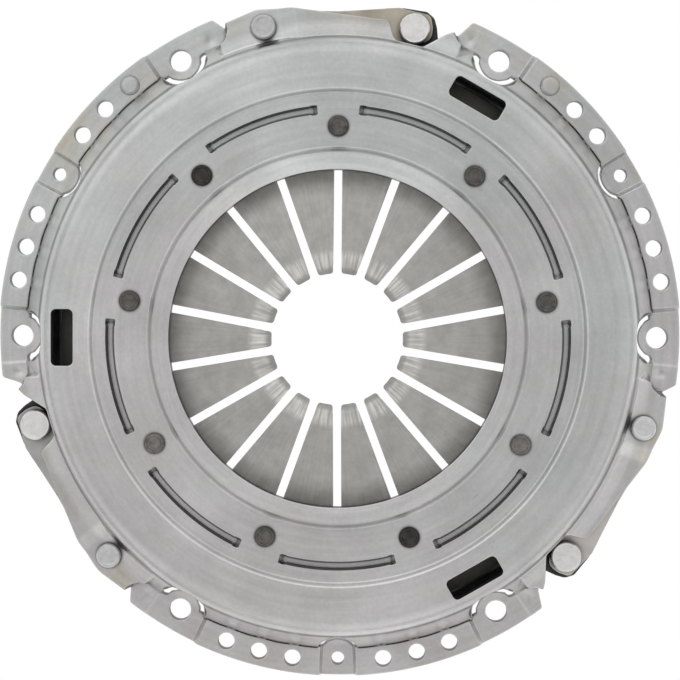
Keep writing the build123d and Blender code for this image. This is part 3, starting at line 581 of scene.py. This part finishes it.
def bead(radius, angle):
    """Height of the nose that the groove raises underneath."""
    inside = np.abs(pivot_offset(angle)) > GROOVE_END
    across = np.clip(np.abs(radius - FULCRUM_R), 0, BEAD_NOSE_R)
    nose = BEAD_NOSE_R - np.sqrt(BEAD_NOSE_R ** 2 - across ** 2)
    return np.where(inside, np.maximum(GROOVE_DEPTH - nose, 0), 0)


def dimples(points):
    """Depth of the oblong dimples in the flaps past the bolts."""
    depth = 0
    for angle in (BOLT_ANGLES[0] + DIMPLE_SHIFT, BOLT_ANGLES[1] - DIMPLE_SHIFT):
        offset = points - polar(DIMPLE_R, angle)
        out, along = offset @ polar(1, angle), offset @ polar(1, angle + 90)
        depth = depth + hump(out, DIMPLE_WIDTHS[0]) * hump(along, DIMPLE_WIDTHS[1])
    return DIMPLE_DEPTH * depth


def flared_wall(radius, angle, points):
    """Height of the wall, wavy at the balance holes and hollowed over the tabs."""
    ripple = RIPPLE_OUT * sum(hump(angle - b, RIPPLE_ANGLE) for b in balance_angles()) - RIPPLE_IN
    wall = np.interp(radius + np.clip((radius - RIPPLE_R) / RIPPLE_RUN, 0, 1) * ripple, *TOP_LINE.T)
    for centre, recess, _ in tabs():
        wall = smooth_min(wall, recess_height(points, centre, recess), RECESS_ROUND)
    return wall


def cover_top(radius, angle):
    """Height of the cover's top face."""
    angle = in_sector(angle)
    height = np.interp(radius, *TOP_LINE.T) - groove(radius, angle)
    far = radius > TOP_SHAPED_R
    radius, angle = radius[far], angle[far]
    points = polar(radius, angle)
    wall = flared_wall(radius, angle, points)
    flange = broken(angle - DOWEL_START, FLANGE_LINE) + SHEET - dimples(points)
    arch = arch_height(points, angle, 0.0, SHEET)
    creased = CREASE_DEPTH * (np.abs(angle - ARCH_MIDDLE) > CREASE_START)
    low = smooth_max(wall, flange, FOOT_ROUND) - creased * hump(wall - flange, CREASE_RISE)
    fold = CREASE_DEPTH / 2 * hump(low - arch, CREASE_RISE)
    high = smooth_max(low, arch, ARCH_WALL_ROUND) - fold
    rivet = polar(STRAP_RIVET_R, ARCH_MIDDLE + STRAP_HALF_ANGLE)
    pocket = inside_circle(points, rivet, POCKET_R)
    pocket = np.clip((pocket + POCKET_FADE) / (2 * POCKET_FADE), 0, 1)
    floor = np.minimum(high, ARCH_LINE[-1][1] + SHEET)
    height[far] = high * (1 - pocket) + floor * pocket
    return height


def cover_under(radius, angle):
    """Height of the cover's underside."""
    angle = in_sector(angle)
    wall = np.interp(radius, *UNDER_LINE.T) - bead(radius, angle)
    height = smooth_max(wall, broken(angle - DOWEL_START, FLANGE_LINE), FOOT_ROUND)
    far = radius > UNDER_SHAPED_R
    arch = arch_height(polar(radius[far], angle[far]), angle[far], ARCH_INSET, 0.0)
    height[far] = smooth_max(height[far], arch, ARCH_WALL_ROUND)
    return np.minimum(height, cover_top(radius, angle) - LEAST_SHEET)


def arch_trim():
    """Closed outline of what is trimmed off an arch."""
    edge = [(start + a, STRAP_RIVET_R + r) for start, line in ARCH_EDGE for a, r in line]
    outside = FLANGE_R + TRIM_REACH
    edge = [(edge[0][0], outside), *edge, (edge[-1][0], outside)]
    line = rounded([polar(radius, angle) for angle, radius in edge], ARCH_EDGE_ROUNDS)
    return np.vstack([line, polar(2 * outside, ARCH_MIDDLE)])


def slits(points, radius):
    """Signed distance inside the slits between the tabs' noses and the wall."""
    opened = np.full(len(points), -np.inf)
    for centre, _, (middle_r, slit_r) in tabs():
        middle = centre / np.linalg.norm(centre) * middle_r
        nose = inside_circle(points, centre, TAB_NOSE_R)
        slit = np.minimum(inside_circle(points, middle, slit_r), -nose)
        opened = np.maximum(opened, np.minimum(slit, TAB_ROOT_R - radius))
    for angle in (BOLT_ANGLES[0] + HOOK_ANGLE, BOLT_ANGLES[1] - HOOK_ANGLE):
        hook = inside_circle(points, polar(HOOK_CENTRE_R, angle), HOOK_R)
        opened = smooth_max(opened, hook, HOOK_ROUND)
    return opened


def round_holes(points):
    """Signed distances inside the round holes of one sector's flange."""
    rows = ((BOLT_R, BOLT_ANGLES, BOLT_HOLE_R), (DOWEL_R, DOWEL_ANGLES, DOWEL_HOLE_R),
            (BALANCE_R, balance_angles(), BALANCE_HOLE_R))
    return [inside_circle(points, polar(at, a), hole_r) for at, around, hole_r in rows
            for a in around]


def cover_left(radius, angle):
    """Signed distance inside the cover's outline."""
    angle = in_sector(angle)
    points = polar(radius, angle)
    middle = polar(WINDOW_PITCH_R, WINDOW_ANGLE)
    window = inside_box(points, middle, WINDOW_ANGLE, WINDOW_SIZE, WINDOW_CORNER)
    left = np.min([radius - OPENING_R, FLANGE_R - radius, -window], 0)
    far = radius > TOP_SHAPED_R
    near = points[far]
    cuts = [inside_polygon(near, arch_trim()), slits(near, radius[far]), *round_holes(near)]
    left[far] = np.minimum(left[far], -np.max(cuts, 0))
    return left


def cover_angles():
    """Angles of the cover's grid, closer at tabs, joggles, risers and groove ends."""
    pitch = 360.0 / PIVOT_COUNT
    joggles = [(DOWEL_START + a, 0.6, JOGGLE_STEP) for a in JOGGLE_ANGLES]
    risers = [(a, 3.2, RISER_STEP) for a in RISER_ANGLES]
    ramps = [(ARCH_MIDDLE + k * pitch + s * (GROOVE_END + GROOVE_RAMP / 2), 0.9, JOGGLE_STEP)
             for k in (-1, 0, 1) for s in (-1, 1)]
    tab_ends = [(a, 6.0, TAB_STEP) for a in BOLT_ANGLES] + [(DOWEL_START, 4.5, TAB_STEP)]
    return angle_stops(COVER_STEP, *tab_ends, *joggles, *risers, *ramps)


def make_cover(look):
    """Pressed cover as one sheet."""
    radii, angles = spaced(*COVER_RADII), cover_angles()
    sheet = cut_sheet(radii, angles, cover_left, cover_top, cover_under, EDGE_ROUND)
    piece = make_mesh("cover_sheet", *sheet, look, "pressed_steel")
    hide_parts("cover")
    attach(piece, "cover")


# Diaphragm spring

def spring_line():
    """Top of the spring as a dense line of (radius, height)."""
    cone, lift = math.tan(math.radians(CONE_ANGLE)), math.tan(math.radians(FINGER_ANGLE))
    bend_z = SPRING_TOP + (FULCRUM_R - FINGER_BEND_R) * cone
    knee_z = bend_z + (FINGER_BEND_R - KNEE_R) * lift
    crest_z = knee_z + CREST_RISE
    points = [(TIP_R, crest_z - TIP_DROP), (CREST_R, crest_z), (KNEE_R, knee_z),
              (FINGER_BEND_R, bend_z), (SPRING_R, SPRING_TOP - (SPRING_R - FULCRUM_R) * cone)]
    return rounded(points, SPRING_FILLETS, 9)


def spring_left(radius, angle):
    """Signed distance inside the spring's outline: fingers between round-ended slots."""
    pitch = 360.0 / FINGER_COUNT
    number = np.round((angle - ARCH_MIDDLE) / pitch)
    points = polar(radius, angle - ARCH_MIDDLE - number * pitch)
    left = np.minimum(SPRING_R - radius, radius - TIP_R)
    for parity, (end_r, eye_r) in enumerate(KEYHOLES):
        slot = np.minimum(FINGER_GAP / 2 - np.abs(points[:, 1]), end_r - points[:, 0])
        cut = np.maximum(slot, inside_circle(points, np.array([end_r, 0.0]), eye_r))
        mine = number % 2 == parity
        finger = smooth_min(radius - TIP_R, -cut, FINGER_ROUND)
        left[mine] = np.minimum(left, finger)[mine]
    return left


def make_spring(look):
    """Spring as its top face with a thickness added."""
    line = spring_line()
    angles = np.arange(0, 360, SPRING_STEP) + SPRING_SHIFT
    places, _, faces, _ = trimmed_grid(spaced(*SPRING_RADII), angles, spring_left, 360.0)
    vertices = np.column_stack([polar(*places.T), np.interp(places[:, 0], *line.T)])
    piece = make_mesh("spring_fingers", vertices, faces, look, "spring_steel")
    thick = piece.modifiers.new("thickness", "SOLIDIFY")
    thick.thickness = SPRING_SHEET * MM
    thick.offset = -1.0
    edge = piece.modifiers.new("edge", "BEVEL")
    edge.width = SPRING_BEVEL * MM
    edge.segments = 2
    edge.limit_method = "ANGLE"
    edge.angle_limit = math.radians(SPRING_BEVEL_ANGLE)
    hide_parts("diaphragm_spring")
    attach(piece, "cover")
    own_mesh(piece)


# Drive straps

def strap_left(across, along):
    """Signed distance inside a leaf's outline, with its lug end at negative along."""
    points = flat_plan(across, along)
    length = np.minimum(STRAP_HALF - along, along + STRAP_HALF + STRAP_TIP[1][0])
    past = flat_plan(-along - STRAP_HALF, across)
    tip = inside_polygon(past, rounded(STRAP_TIP, STRAP_TIP_ROUNDS))
    outer = np.interp(along, (-STRAP_HALF + STRAP_FLAT, 0.0), STRAP_EDGES[1:])
    width = np.minimum(across + STRAP_EDGES[0], outer - across)
    left = np.maximum(np.minimum(width, length), tip)
    left = np.maximum(left, inside_circle(points, np.array([0.0, STRAP_HALF]), STRAP_END_R))
    for side, hole in zip((-STRAP_HALF, STRAP_HALF), STRAP_HOLES):
        left = np.minimum(left, -inside_circle(points, np.array([0.0, side]), hole))
    return left


def at_arch(vertices, arch):
    """Vertices (outwards, along the chord, up) moved to an arch."""
    angle = ARCH_MIDDLE + arch * SECTOR
    out, side = polar(1, angle), polar(1, angle + 90)
    moved = vertices.copy()
    moved[:, :2] = vertices[:, :1] * out + vertices[:, 1:2] * side
    return moved


def make_strap(arch, leaf, look):
    """One spring leaf: flat at both ends, set down by a step towards the plate's lug."""
    run = STRAP_HALF - STRAP_FLAT

    def top(across, along):
        share = np.clip((along + run) / (2 * run), 0, 1)
        return STRAP_TOP - leaf * STRAP_SHEET - STRAP_SET * (1 - share * share * (3 - 2 * share))

    def under(across, along):
        return top(across, along) - STRAP_SHEET + STRAP_GAP

    end = STRAP_HALF + STRAP_REACH
    wide, fine, coarse = STRAP_STEPS
    grid = [spaced((-STRAP_REACH, STRAP_REACH, wide)),
            spaced((-end, -run, fine), (-run, run, coarse), (run, end, fine))]
    vertices, faces = cut_sheet(*grid, strap_left, top, under, STRAP_EDGE, flat_plan, None)
    vertices[:, 0] += STRAP_CHORD
    name = f"strap_{arch + 1}_leaf_{leaf + 1}"
    piece = make_mesh(f"{name}_sheet", at_arch(vertices, arch), faces, look, "strap_steel")
    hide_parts(name)
    bends = np.array([[STRAP_CHORD, side, STRAP_TOP] for side in (run, -run)])
    bends = (at_arch(bends, arch) * MM).tolist()
    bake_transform(piece)


# Rivets

def lathe(profile, centre, segments=72, ring=False):
    """Vertices and faces of an outline of (radius, height) turned about an upright line.

    The outline runs from the middle of the top to the middle of the bottom, or closes on itself.
    """
    profile = np.array(profile, float)
    turns = np.linspace(0, 360, segments, endpoint=False)
    plans = [polar(profile[:, 0], np.full(len(profile), a)) + centre for a in turns]
    rings = [np.column_stack([plan, profile[:, 1]]) for plan in plans]
    faces = []
    for k in range(segments):
        here, there = k * len(profile), (k + 1) % segments * len(profile)
        for j in range(len(profile) - (0 if ring else 1)):
            after = (j + 1) % len(profile)
            faces.append([here + j, here + after, there + after, there + j])
    if not ring:
        faces.append([k * len(profile) for k in range(segments)])
        faces.append([k * len(profile) + len(profile) - 1 for k in reversed(range(segments))])
    return np.vstack(rings), faces


def make_rivet(node, body, centre, rivet, look, slot):
    """Turned rivet from its seat, its outline and its fillets."""
    seat, outline, rounds = rivet
    profile = rounded(outline, rounds, 5) + np.array([0.0, seat])
    piece = make_mesh(f"{node}_turned", *lathe(profile, centre), look, slot, sharp=30.0)
    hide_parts(node)
    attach(piece, body)


# Pressure plate

def lug_mesh(arch):
    """Lug of the plate under a strap pack, with the rivet's hole and its spot face."""
    outline, centre = rounded(LUG_TIP, LUG_TIP_ROUNDS), np.zeros(2)

    def left(past, out):
        points = flat_plan(past, out)
        hole = inside_circle(points, centre, LUG_HOLE_R)
        return np.minimum(inside_polygon(points, outline), -hole)

    def top(past, out):
        return np.full(len(past), LUG_LEVELS[1])

    def under(past, out):
        return LUG_LEVELS[0] + LUG_SPOT_DEPTH * (np.hypot(past, out) < LUG_SPOT_R)

    steps = spaced(LUG_GRID)
    vertices, faces = cut_sheet(steps, steps, left, top, under, LUG_EDGE, flat_plan, None)
    past, out, height = vertices.T
    placed = np.column_stack([out + STRAP_CHORD, -past - STRAP_HALF, height])
    return at_arch(placed, arch), faces


def make_plate(look):
    """Cast ring with a friction face, the ridge that the spring presses, and three lugs."""
    fillets = (PLATE_FILLET,) * (len(PLATE_SECTION) - 1)
    section = rounded([*PLATE_SECTION[::-1], PLATE_SECTION[-1]], fillets)
    vertices, faces = lathe(section[:-1], np.zeros(2), PLATE_SEGMENTS, ring=True)
    for arch in range(STRAP_COUNT):
        more, more_faces = lug_mesh(arch)
        faces += [[v + len(vertices) for v in face] for face in more_faces]
        vertices = np.vstack([vertices, more])
    piece = make_mesh("plate_casting", vertices, faces, look, "cast_iron")
    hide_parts("pressure_plate")
    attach(piece, "pressure_plate")


# Materials

def add(tree, kind, inputs=(), **settings):
    """New node with its settings, and its inputs set or linked: (name, value or socket)."""
    node = tree.nodes.new("ShaderNode" + kind)
    for key, value in settings.items():
        setattr(node, key, value)
    for key, value in inputs:
        if isinstance(value, bpy.types.NodeSocket):
            tree.links.new(value, node.inputs[key])
        else:
            node.inputs[key].default_value = value
    return node


def math_node(tree, operation, *values):
    """Result of a calculation on sockets or numbers."""
    return add(tree, "Math", list(enumerate(values)), operation=operation).outputs[0]


def product(tree, first, *factors):
    """Sockets multiplied one after another."""
    for factor in factors:
        first = math_node(tree, "MULTIPLY", first, factor)
    return first


def between(tree, value, low, high, to_low=0.0, to_high=1.0):
    """A value's range from low to high, moved to another range and held inside it."""
    inputs = [("Value", value), ("From Min", low), ("From Max", high)]
    inputs += [("To Min", to_low), ("To Max", to_high)]
    return add(tree, "MapRange", inputs).outputs[0]


def spread(tree, cloud, low, high):
    """Noise moved to another range."""
    return between(tree, cloud, 0.3, 0.7, low, high)


def by_radius(tree, radius, ends, to_low=0.0, to_high=1.0):
    """A value that changes between two radii given in millimetres."""
    return between(tree, radius, ends[0] * MM, ends[1] * MM, to_low, to_high)


def noise(tree, vector, scale, detail=3.0, roughness=0.55):
    """Cloudy noise, mostly between 0.3 and 0.7."""
    inputs = [("Vector", vector), ("Scale", scale), ("Detail", detail), ("Roughness", roughness)]
    return add(tree, "TexNoise", inputs).outputs["Fac"]


def round_axis(tree, point):
    """Radius and angle of a point, for marks that run round the axis."""
    x, y, _ = add(tree, "SeparateXYZ", [(0, point)]).outputs
    squares = math_node(tree, "ADD", product(tree, x, x), product(tree, y, y))
    angle = math_node(tree, "ABSOLUTE", math_node(tree, "ARCTAN2", y, x))
    return math_node(tree, "SQRT", squares), angle


def streaks(tree, radius, angle, across, along, detail=2.0):
    """Noise drawn out round the axis: bands per metre across, and per radian along."""
    inputs = [(0, product(tree, radius, across)), (1, product(tree, angle, along))]
    return noise(tree, add(tree, "CombineXYZ", inputs).outputs[0], 1.0, detail)


def scuffs(tree, radius, angle, across, along, rare):
    """Thin marks drawn round the axis: 0 nearly everywhere, 1 in a mark."""
    return between(tree, streaks(tree, radius, angle, across, along, 3.0), rare, rare + 0.05)


def tinted(tree, share, low, high):
    """Colour between two colours, each a socket or three numbers."""
    mix = add(tree, "Mix", [(0, share)], data_type="RGBA")
    for socket, colour in ((mix.inputs[6], low), (mix.inputs[7], high)):
        if isinstance(colour, bpy.types.NodeSocket):
            tree.links.new(colour, socket)
        else:
            socket.default_value = (*colour, 1.0)
    return mix.outputs[2]


def scaled(tree, colour, factor):
    """A colour made lighter or darker by a factor."""
    inputs = [(0, colour), ("Scale", factor)]
    return add(tree, "VectorMath", inputs, operation="SCALE").outputs[0]


def painted_crevice_shade(tree, distance, floor):
    """Factor of painted shade that darkens corners and narrow gaps."""
    inputs = [("Distance", distance * MM)]
    open_share = add(tree, "AmbientOcclusion", inputs, samples=8).outputs["AO"]
    return between(tree, open_share, 0.42, 0.88, floor, 1.0)


def side_shade(tree):
    """Factor that darkens upright faces: sheared edges, bores and the sides of grooves."""
    normal = add(tree, "NewGeometry").outputs["Normal"]
    upward = add(tree, "SeparateXYZ", [(0, normal)]).outputs["Z"]
    return between(tree, math_node(tree, "ABSOLUTE", upward), *SIDE_SLOPES, SIDE_SHADE, 1.0)


def metal(name, colour, roughness, grain, metallic=0.9):
    """Metal with colour, roughness and grain from functions of the tree and a point."""
    look = bpy.data.materials.new(name)
    look.use_nodes = True
    tree = look.node_tree
    point = add(tree, "TexCoord").outputs["Object"]
    shader = tree.nodes["Principled BSDF"]
    shaded = scaled(tree, colour(tree, point), side_shade(tree))
    tree.links.new(shaded, shader.inputs["Base Color"])
    tree.links.new(roughness(tree, point), shader.inputs["Roughness"])
    shader.inputs["Metallic"].default_value = metallic
    height, strength = grain(tree, point)
    inputs = [("Height", height), ("Strength", strength), ("Distance", GRAIN_DEPTH * MM)]
    tree.links.new(add(tree, "Bump", inputs).outputs[0], shader.inputs["Normal"])
    return look


def painted_fold_highlights_and_shade(tree, radius):
    """Factor of rings of painted highlight and painted shade along the folds of the pressing."""
    rings = []
    for at, width, gain in FOLD_HIGHLIGHT_AND_SHADE_LINES:
        distance = math_node(tree, "ABSOLUTE", math_node(tree, "SUBTRACT", radius, at * MM))
        rings.append(by_radius(tree, distance, (0.4 * width, width), gain, 1.0))
    return product(tree, *rings)


def steel_tint(tree, point, radius):
    """Cool and warm tints of the drawn steel, and brown stains near its edge."""
    y = add(tree, "SeparateXYZ", [(0, point)]).outputs["Y"]
    drift = math_node(tree, "ADD", noise(tree, point, 16.0, 3.0), product(tree, y, 1.2))
    colour = tinted(tree, between(tree, drift, 0.38, 0.62), STEEL_WARM, STEEL_COOL)
    patches = between(tree, noise(tree, point, 38.0, 4.0), 0.52, 0.7)
    stain = product(tree, patches, by_radius(tree, radius, STAIN_R))
    return tinted(tree, stain, colour, STEEL_STAIN)


def steel_colour(tree, point):
    """Bare drawn steel: cloudy, streaked round the axis, specked and scuffed, with painted
    highlights and painted shade along the folds and painted shade in corners.
    """
    radius, angle = round_axis(tree, point)
    cloud = spread(tree, noise(tree, point, 26.0, 6.0, 0.62), 0.86, 1.13)
    band = spread(tree, streaks(tree, radius, angle, 420.0, 1.6, 4.0), 0.93, 1.07)
    speck = between(tree, noise(tree, point, 700.0, 3.0), 0.3, 0.75, 0.94, 1.04)
    dark = between(tree, scuffs(tree, radius, angle, 900.0, 9.0, 0.7), 0.0, 1.0, 1.0, 0.72)
    light = between(tree, scuffs(tree, radius, angle, 1300.0, 5.0, 0.71), 0.0, 1.0, 1.0, 1.2)
    # the last mark is rings of painted highlight and painted shade along the folds
    marks = cloud, band, speck, dark, light, painted_fold_highlights_and_shade(tree, radius)
    # painted shade darkens the corners and narrow gaps
    factor = product(tree, painted_crevice_shade(tree, 1.8, 0.12), *marks)
    return scaled(tree, steel_tint(tree, point, radius), factor)


def steel_roughness(tree, point):
    """Uneven gloss, partly in streaks round the axis."""
    fine = streaks(tree, *round_axis(tree, point), 900.0, 4.0)
    both = math_node(tree, "ADD", noise(tree, point, 60.0, 4.0), fine)
    return between(tree, both, 0.7, 1.3, *STEEL_ROUGHNESS)


def steel_grain(tree, point):
    """Fine grain with drawing marks round the axis."""
    fine = streaks(tree, *round_axis(tree, point), 2600.0, 30.0)
    return math_node(tree, "ADD", noise(tree, point, 1400.0, 3.0), fine), 0.12


def spring_colour(tree, point):
    """Heat-treated spring steel: mottled, bright where the crest is worn with a painted highlight
    over it, with painted light towards the opening, painted shadow inside and painted shade in
    corners.
    """
    radius, angle = round_axis(tree, point)
    brushed = spread(tree, streaks(tree, radius, angle, 22.0, 60.0, 3.0), 0.93, 1.06)
    mottle = between(tree, noise(tree, point, 120.0, 5.0, 0.7), 0.35, 0.65)
    # streaks of the worn crest, which also carry a painted highlight
    crest_streaks = streaks(tree, radius, angle, 60.0, 26.0, 3.0)
    wear_and_highlight = between(tree, crest_streaks, 0.35, 0.65, 1.0, CREST_WEAR_AND_HIGHLIGHT)
    crest = product(tree, *(by_radius(tree, radius, ends) for ends in CREST_RADII))
    # worn crest with painted highlight, brushing, painted shade in corners, painted light towards
    # the opening and painted shadow past it
    factor = product(tree, between(tree, crest, 0.0, 1.0, 1.0, wear_and_highlight), brushed,
                     painted_crevice_shade(tree, 1.5, 0.5), by_radius(tree, radius, PAINTED_LIGHT_R, *PAINTED_LIGHT_GAINS),
                     by_radius(tree, radius, SHADOW_R, 1.0, SHADOW))
    return scaled(tree, tinted(tree, mottle, *SPRING_TINTS), factor)


def plain_colour(low, high, scale, gap=3.0, floor=0.4):
    """Two close colours in patches, with painted shade darkening the corners."""
    def colour(tree, point):
        share = between(tree, noise(tree, point, scale, 4.0), 0.35, 0.65)
        # painted shade darkens the corners
        return scaled(tree, tinted(tree, share, low, high), painted_crevice_shade(tree, gap, floor))
    return colour


def plain_roughness(low, high, scale, detail=3.0):
    """Roughness that wanders between two values."""
    def roughness(tree, point):
        return spread(tree, noise(tree, point, scale, detail), low, high)
    return roughness


def rough_grain(scale, strength):
    """Even grain of a size and a strength."""
    def grain(tree, point):
        return noise(tree, point, scale, 4.0), strength
    return grain


def iron_colour(tree, point):
    """Cast iron: dark and rough, with fine turning rings on the machined faces and painted shade in
    its corners.
    """
    radius, _ = round_axis(tree, point)
    line = add(tree, "CombineXYZ", [(0, product(tree, radius, 1800.0))]).outputs[0]
    rings = spread(tree, noise(tree, line, 1.0, 1.0), 0.85, 1.1)
    share = spread(tree, noise(tree, point, 120.0, 4.0), 0.0, 1.0)
    # turning rings, with painted shade darkening the corners
    factor = product(tree, rings, painted_crevice_shade(tree, 5.0, 0.4))
    return scaled(tree, tinted(tree, share, *IRON_TINTS), factor)


def dark_rivet(number, tone):
    """Blackened brown-grey rivet."""
    tints = [[tone * share * tint for tint in (1.0, 0.94, 0.87)] for share in (0.75, 1.3)]
    return metal(f"dark_rivet_{number}", plain_colour(*tints, 420.0, 1.2, 0.3),
                 plain_roughness(0.35, 0.55, 700.0), rough_grain(1500.0, 0.3))


def pad_rivet(number, tone):
    """Grey rivet with a rough upset head."""
    return metal(f"pad_rivet_{number}", plain_colour([tone * 0.85] * 3, [tone] * 3, 500.0),
                 plain_roughness(0.3, 0.42, 600.0), rough_grain(700.0, 0.5))


def strap_steel(number, tints):
    """Smooth spring steel strip with two close tints."""
    return metal(f"strap_steel_{number}", plain_colour(*tints, 70.0),
                 plain_roughness(0.34, 0.5, 300.0), rough_grain(800.0, 0.15))


# Camera, world, table and light

def make_camera():
    """Camera over the object, a little off its axis."""
    data = bpy.data.cameras.new("camera")
    data.sensor_width = SENSOR
    data.lens = SENSOR * FOCAL_PER_WIDTH
    data.clip_start = 0.01
    camera = in_scene("camera", data)
    camera.location = [MM * v for v in CAMERA_PLACE]
    camera.rotation_euler = CAMERA_TILT
    bpy.context.scene.camera = camera


def make_world():
    """Soft tent: pale overhead, darker at the horizon, a little brighter along Y than along X."""
    world = bpy.data.worlds.new("tent")
    bpy.context.scene.world = world
    world.use_nodes = True
    tree = world.node_tree
    tree.nodes.clear()
    place = add(tree, "TexCoord").outputs["Generated"]
    x, y, height = add(tree, "SeparateXYZ", [(0, place)]).outputs
    ramp = add(tree, "ValToRGB", [(0, between(tree, height, -1.0, 1.0))])
    while len(ramp.color_ramp.elements) < len(TENT):
        ramp.color_ramp.elements.new(0.5)
    for element, (level, value) in zip(ramp.color_ramp.elements, TENT):
        element.position = (level + 1) / 2
        element.color = (value, value, value, 1)
    along = math_node(tree, "SUBTRACT", product(tree, y, y), product(tree, x, x))
    lean = math_node(tree, "MULTIPLY_ADD", y, TENT_LEAN, 1.0)
    lean = math_node(tree, "MULTIPLY_ADD", along, TENT_SIDES, lean)
    light = [("Color", scaled(tree, ramp.outputs[0], lean))]
    tent = add(tree, "Background", light)
    add(tree, "OutputWorld", [(0, tent.outputs[0])])


def table_white():
    """White where it is seen or mirrored; for soft light a pale matt table."""
    look = bpy.data.materials.new("table_white")
    look.use_nodes = True
    tree = look.node_tree
    tree.nodes.clear()
    matt = add(tree, "BsdfDiffuse", [("Color", (*[TABLE_WHITE] * 3, 1.0))])
    white = add(tree, "Emission", [("Color", (1.0, 1.0, 1.0, 1.0))])
    path = add(tree, "LightPath").outputs
    mirrored = math_node(tree, "ADD", path["Is Glossy Ray"], path["Is Transmission Ray"])
    seen = math_node(tree, "ADD", mirrored, path["Is Camera Ray"])
    seen = math_node(tree, "MINIMUM", seen, 1.0)
    mix = add(tree, "MixShader", [(0, seen), (1, matt.outputs[0]), (2, white.outputs[0])])
    add(tree, "OutputMaterial", [(0, mix.outputs[0])])
    return look


def make_table():
    """Flat table just under the flange."""
    mesh = bpy.data.meshes.new("table")
    corners = [(-1, -1), (1, -1), (1, 1), (-1, 1)]
    corners = [(x * TABLE_HALF, y * TABLE_HALF, -TABLE_GAP) for x, y in corners]
    mesh.from_pydata(corners, [], [(0, 1, 2, 3)])
    mesh.materials.append(table_white())
    in_scene("table", mesh)


def make_lamp():
    """Round soft lamp that points at the middle of the object."""
    data = bpy.data.lights.new("key", "AREA")
    data.shape = "DISK"
    data.size = LAMP_SIZE
    data.energy = LAMP_POWER
    lamp = in_scene("key", data)
    lamp.location = LAMP_PLACE
    lamp.rotation_euler = (-Vector(LAMP_PLACE)).to_track_quat("-Z", "Y").to_euler()


# The whole assembly

steel = metal("pressed_steel", steel_colour, steel_roughness, steel_grain)
spring = metal("spring_steel", spring_colour, plain_roughness(0.45, 0.6, 220.0, 4.0),
               rough_grain(900.0, 0.25), SPRING_METALLIC)
iron = metal("cast_iron", iron_colour, plain_roughness(0.5, 0.7, 300.0), rough_grain(700.0, 0.4))
darks = [dark_rivet(k, tone) for k, tone in enumerate(DARK_TONES)]
bright = metal("bright_rivet", plain_colour(*BRIGHT_TINTS, 400.0),
               plain_roughness(0.3, 0.42, 600.0), rough_grain(1200.0, 0.15))
pads = [pad_rivet(k, tone) for k, tone in enumerate(PAD_TONES)]
straps = [strap_steel(k, tints) for k, tints in enumerate(STRAP_TINTS)]


def dress_solids():
    """Give every CAD solid the look of its material."""
    looks = {"pressed_steel": steel, "cast_iron": iron, "spring_steel": spring,
             "dark_rivet": darks[1], "bright_rivet": bright, "strap_steel": straps[1]}
    for part in frame["record"]["subparts"]:
        materials = frame["nodes"][part["node"]].data.materials
        materials.clear()
        materials.append(looks[part["material_slot"]])


def make_rivets():
    """Pivot rivets, strap rivets in the cover and in the lugs, and balance rivets."""
    for k, tone in enumerate(PIVOT_TONES):
        centre = polar(PIVOT_RIVET_R, ARCH_MIDDLE + k * 360.0 / PIVOT_COUNT)
        make_rivet(f"pivot_rivet_{k + 1}", "cover", centre, PIVOT_RIVET, darks[tone], "dark_rivet")
    for k, look in enumerate(pads):
        arch = ARCH_MIDDLE + k * SECTOR
        pad = polar(STRAP_RIVET_R, arch + STRAP_HALF_ANGLE)
        lug = polar(STRAP_RIVET_R, arch - STRAP_HALF_ANGLE)
        make_rivet(f"cover_strap_rivet_{k + 1}", "cover", pad, PAD_RIVET, look, "bright_rivet")
        make_rivet(f"lug_rivet_{k + 1}", "pressure_plate", lug, LUG_RIVET, bright, "bright_rivet")
    for k, angle in enumerate(BALANCE_RIVET_ANGLES):
        centre = polar(BALANCE_R, angle)
        make_rivet(f"balance_rivet_{k + 1}", "cover", centre, BALANCE_RIVET, steel, "pressed_steel")


dress_solids()
make_cover(steel)
make_spring(spring)
make_plate(iron)
for arch in range(STRAP_COUNT):
    for leaf in range(LEAF_COUNT):
        make_strap(arch, leaf, straps[arch])
make_rivets()

make_camera()
make_world()
make_table()
make_lamp()
bpy.context.scene.view_settings.view_transform = "Standard"
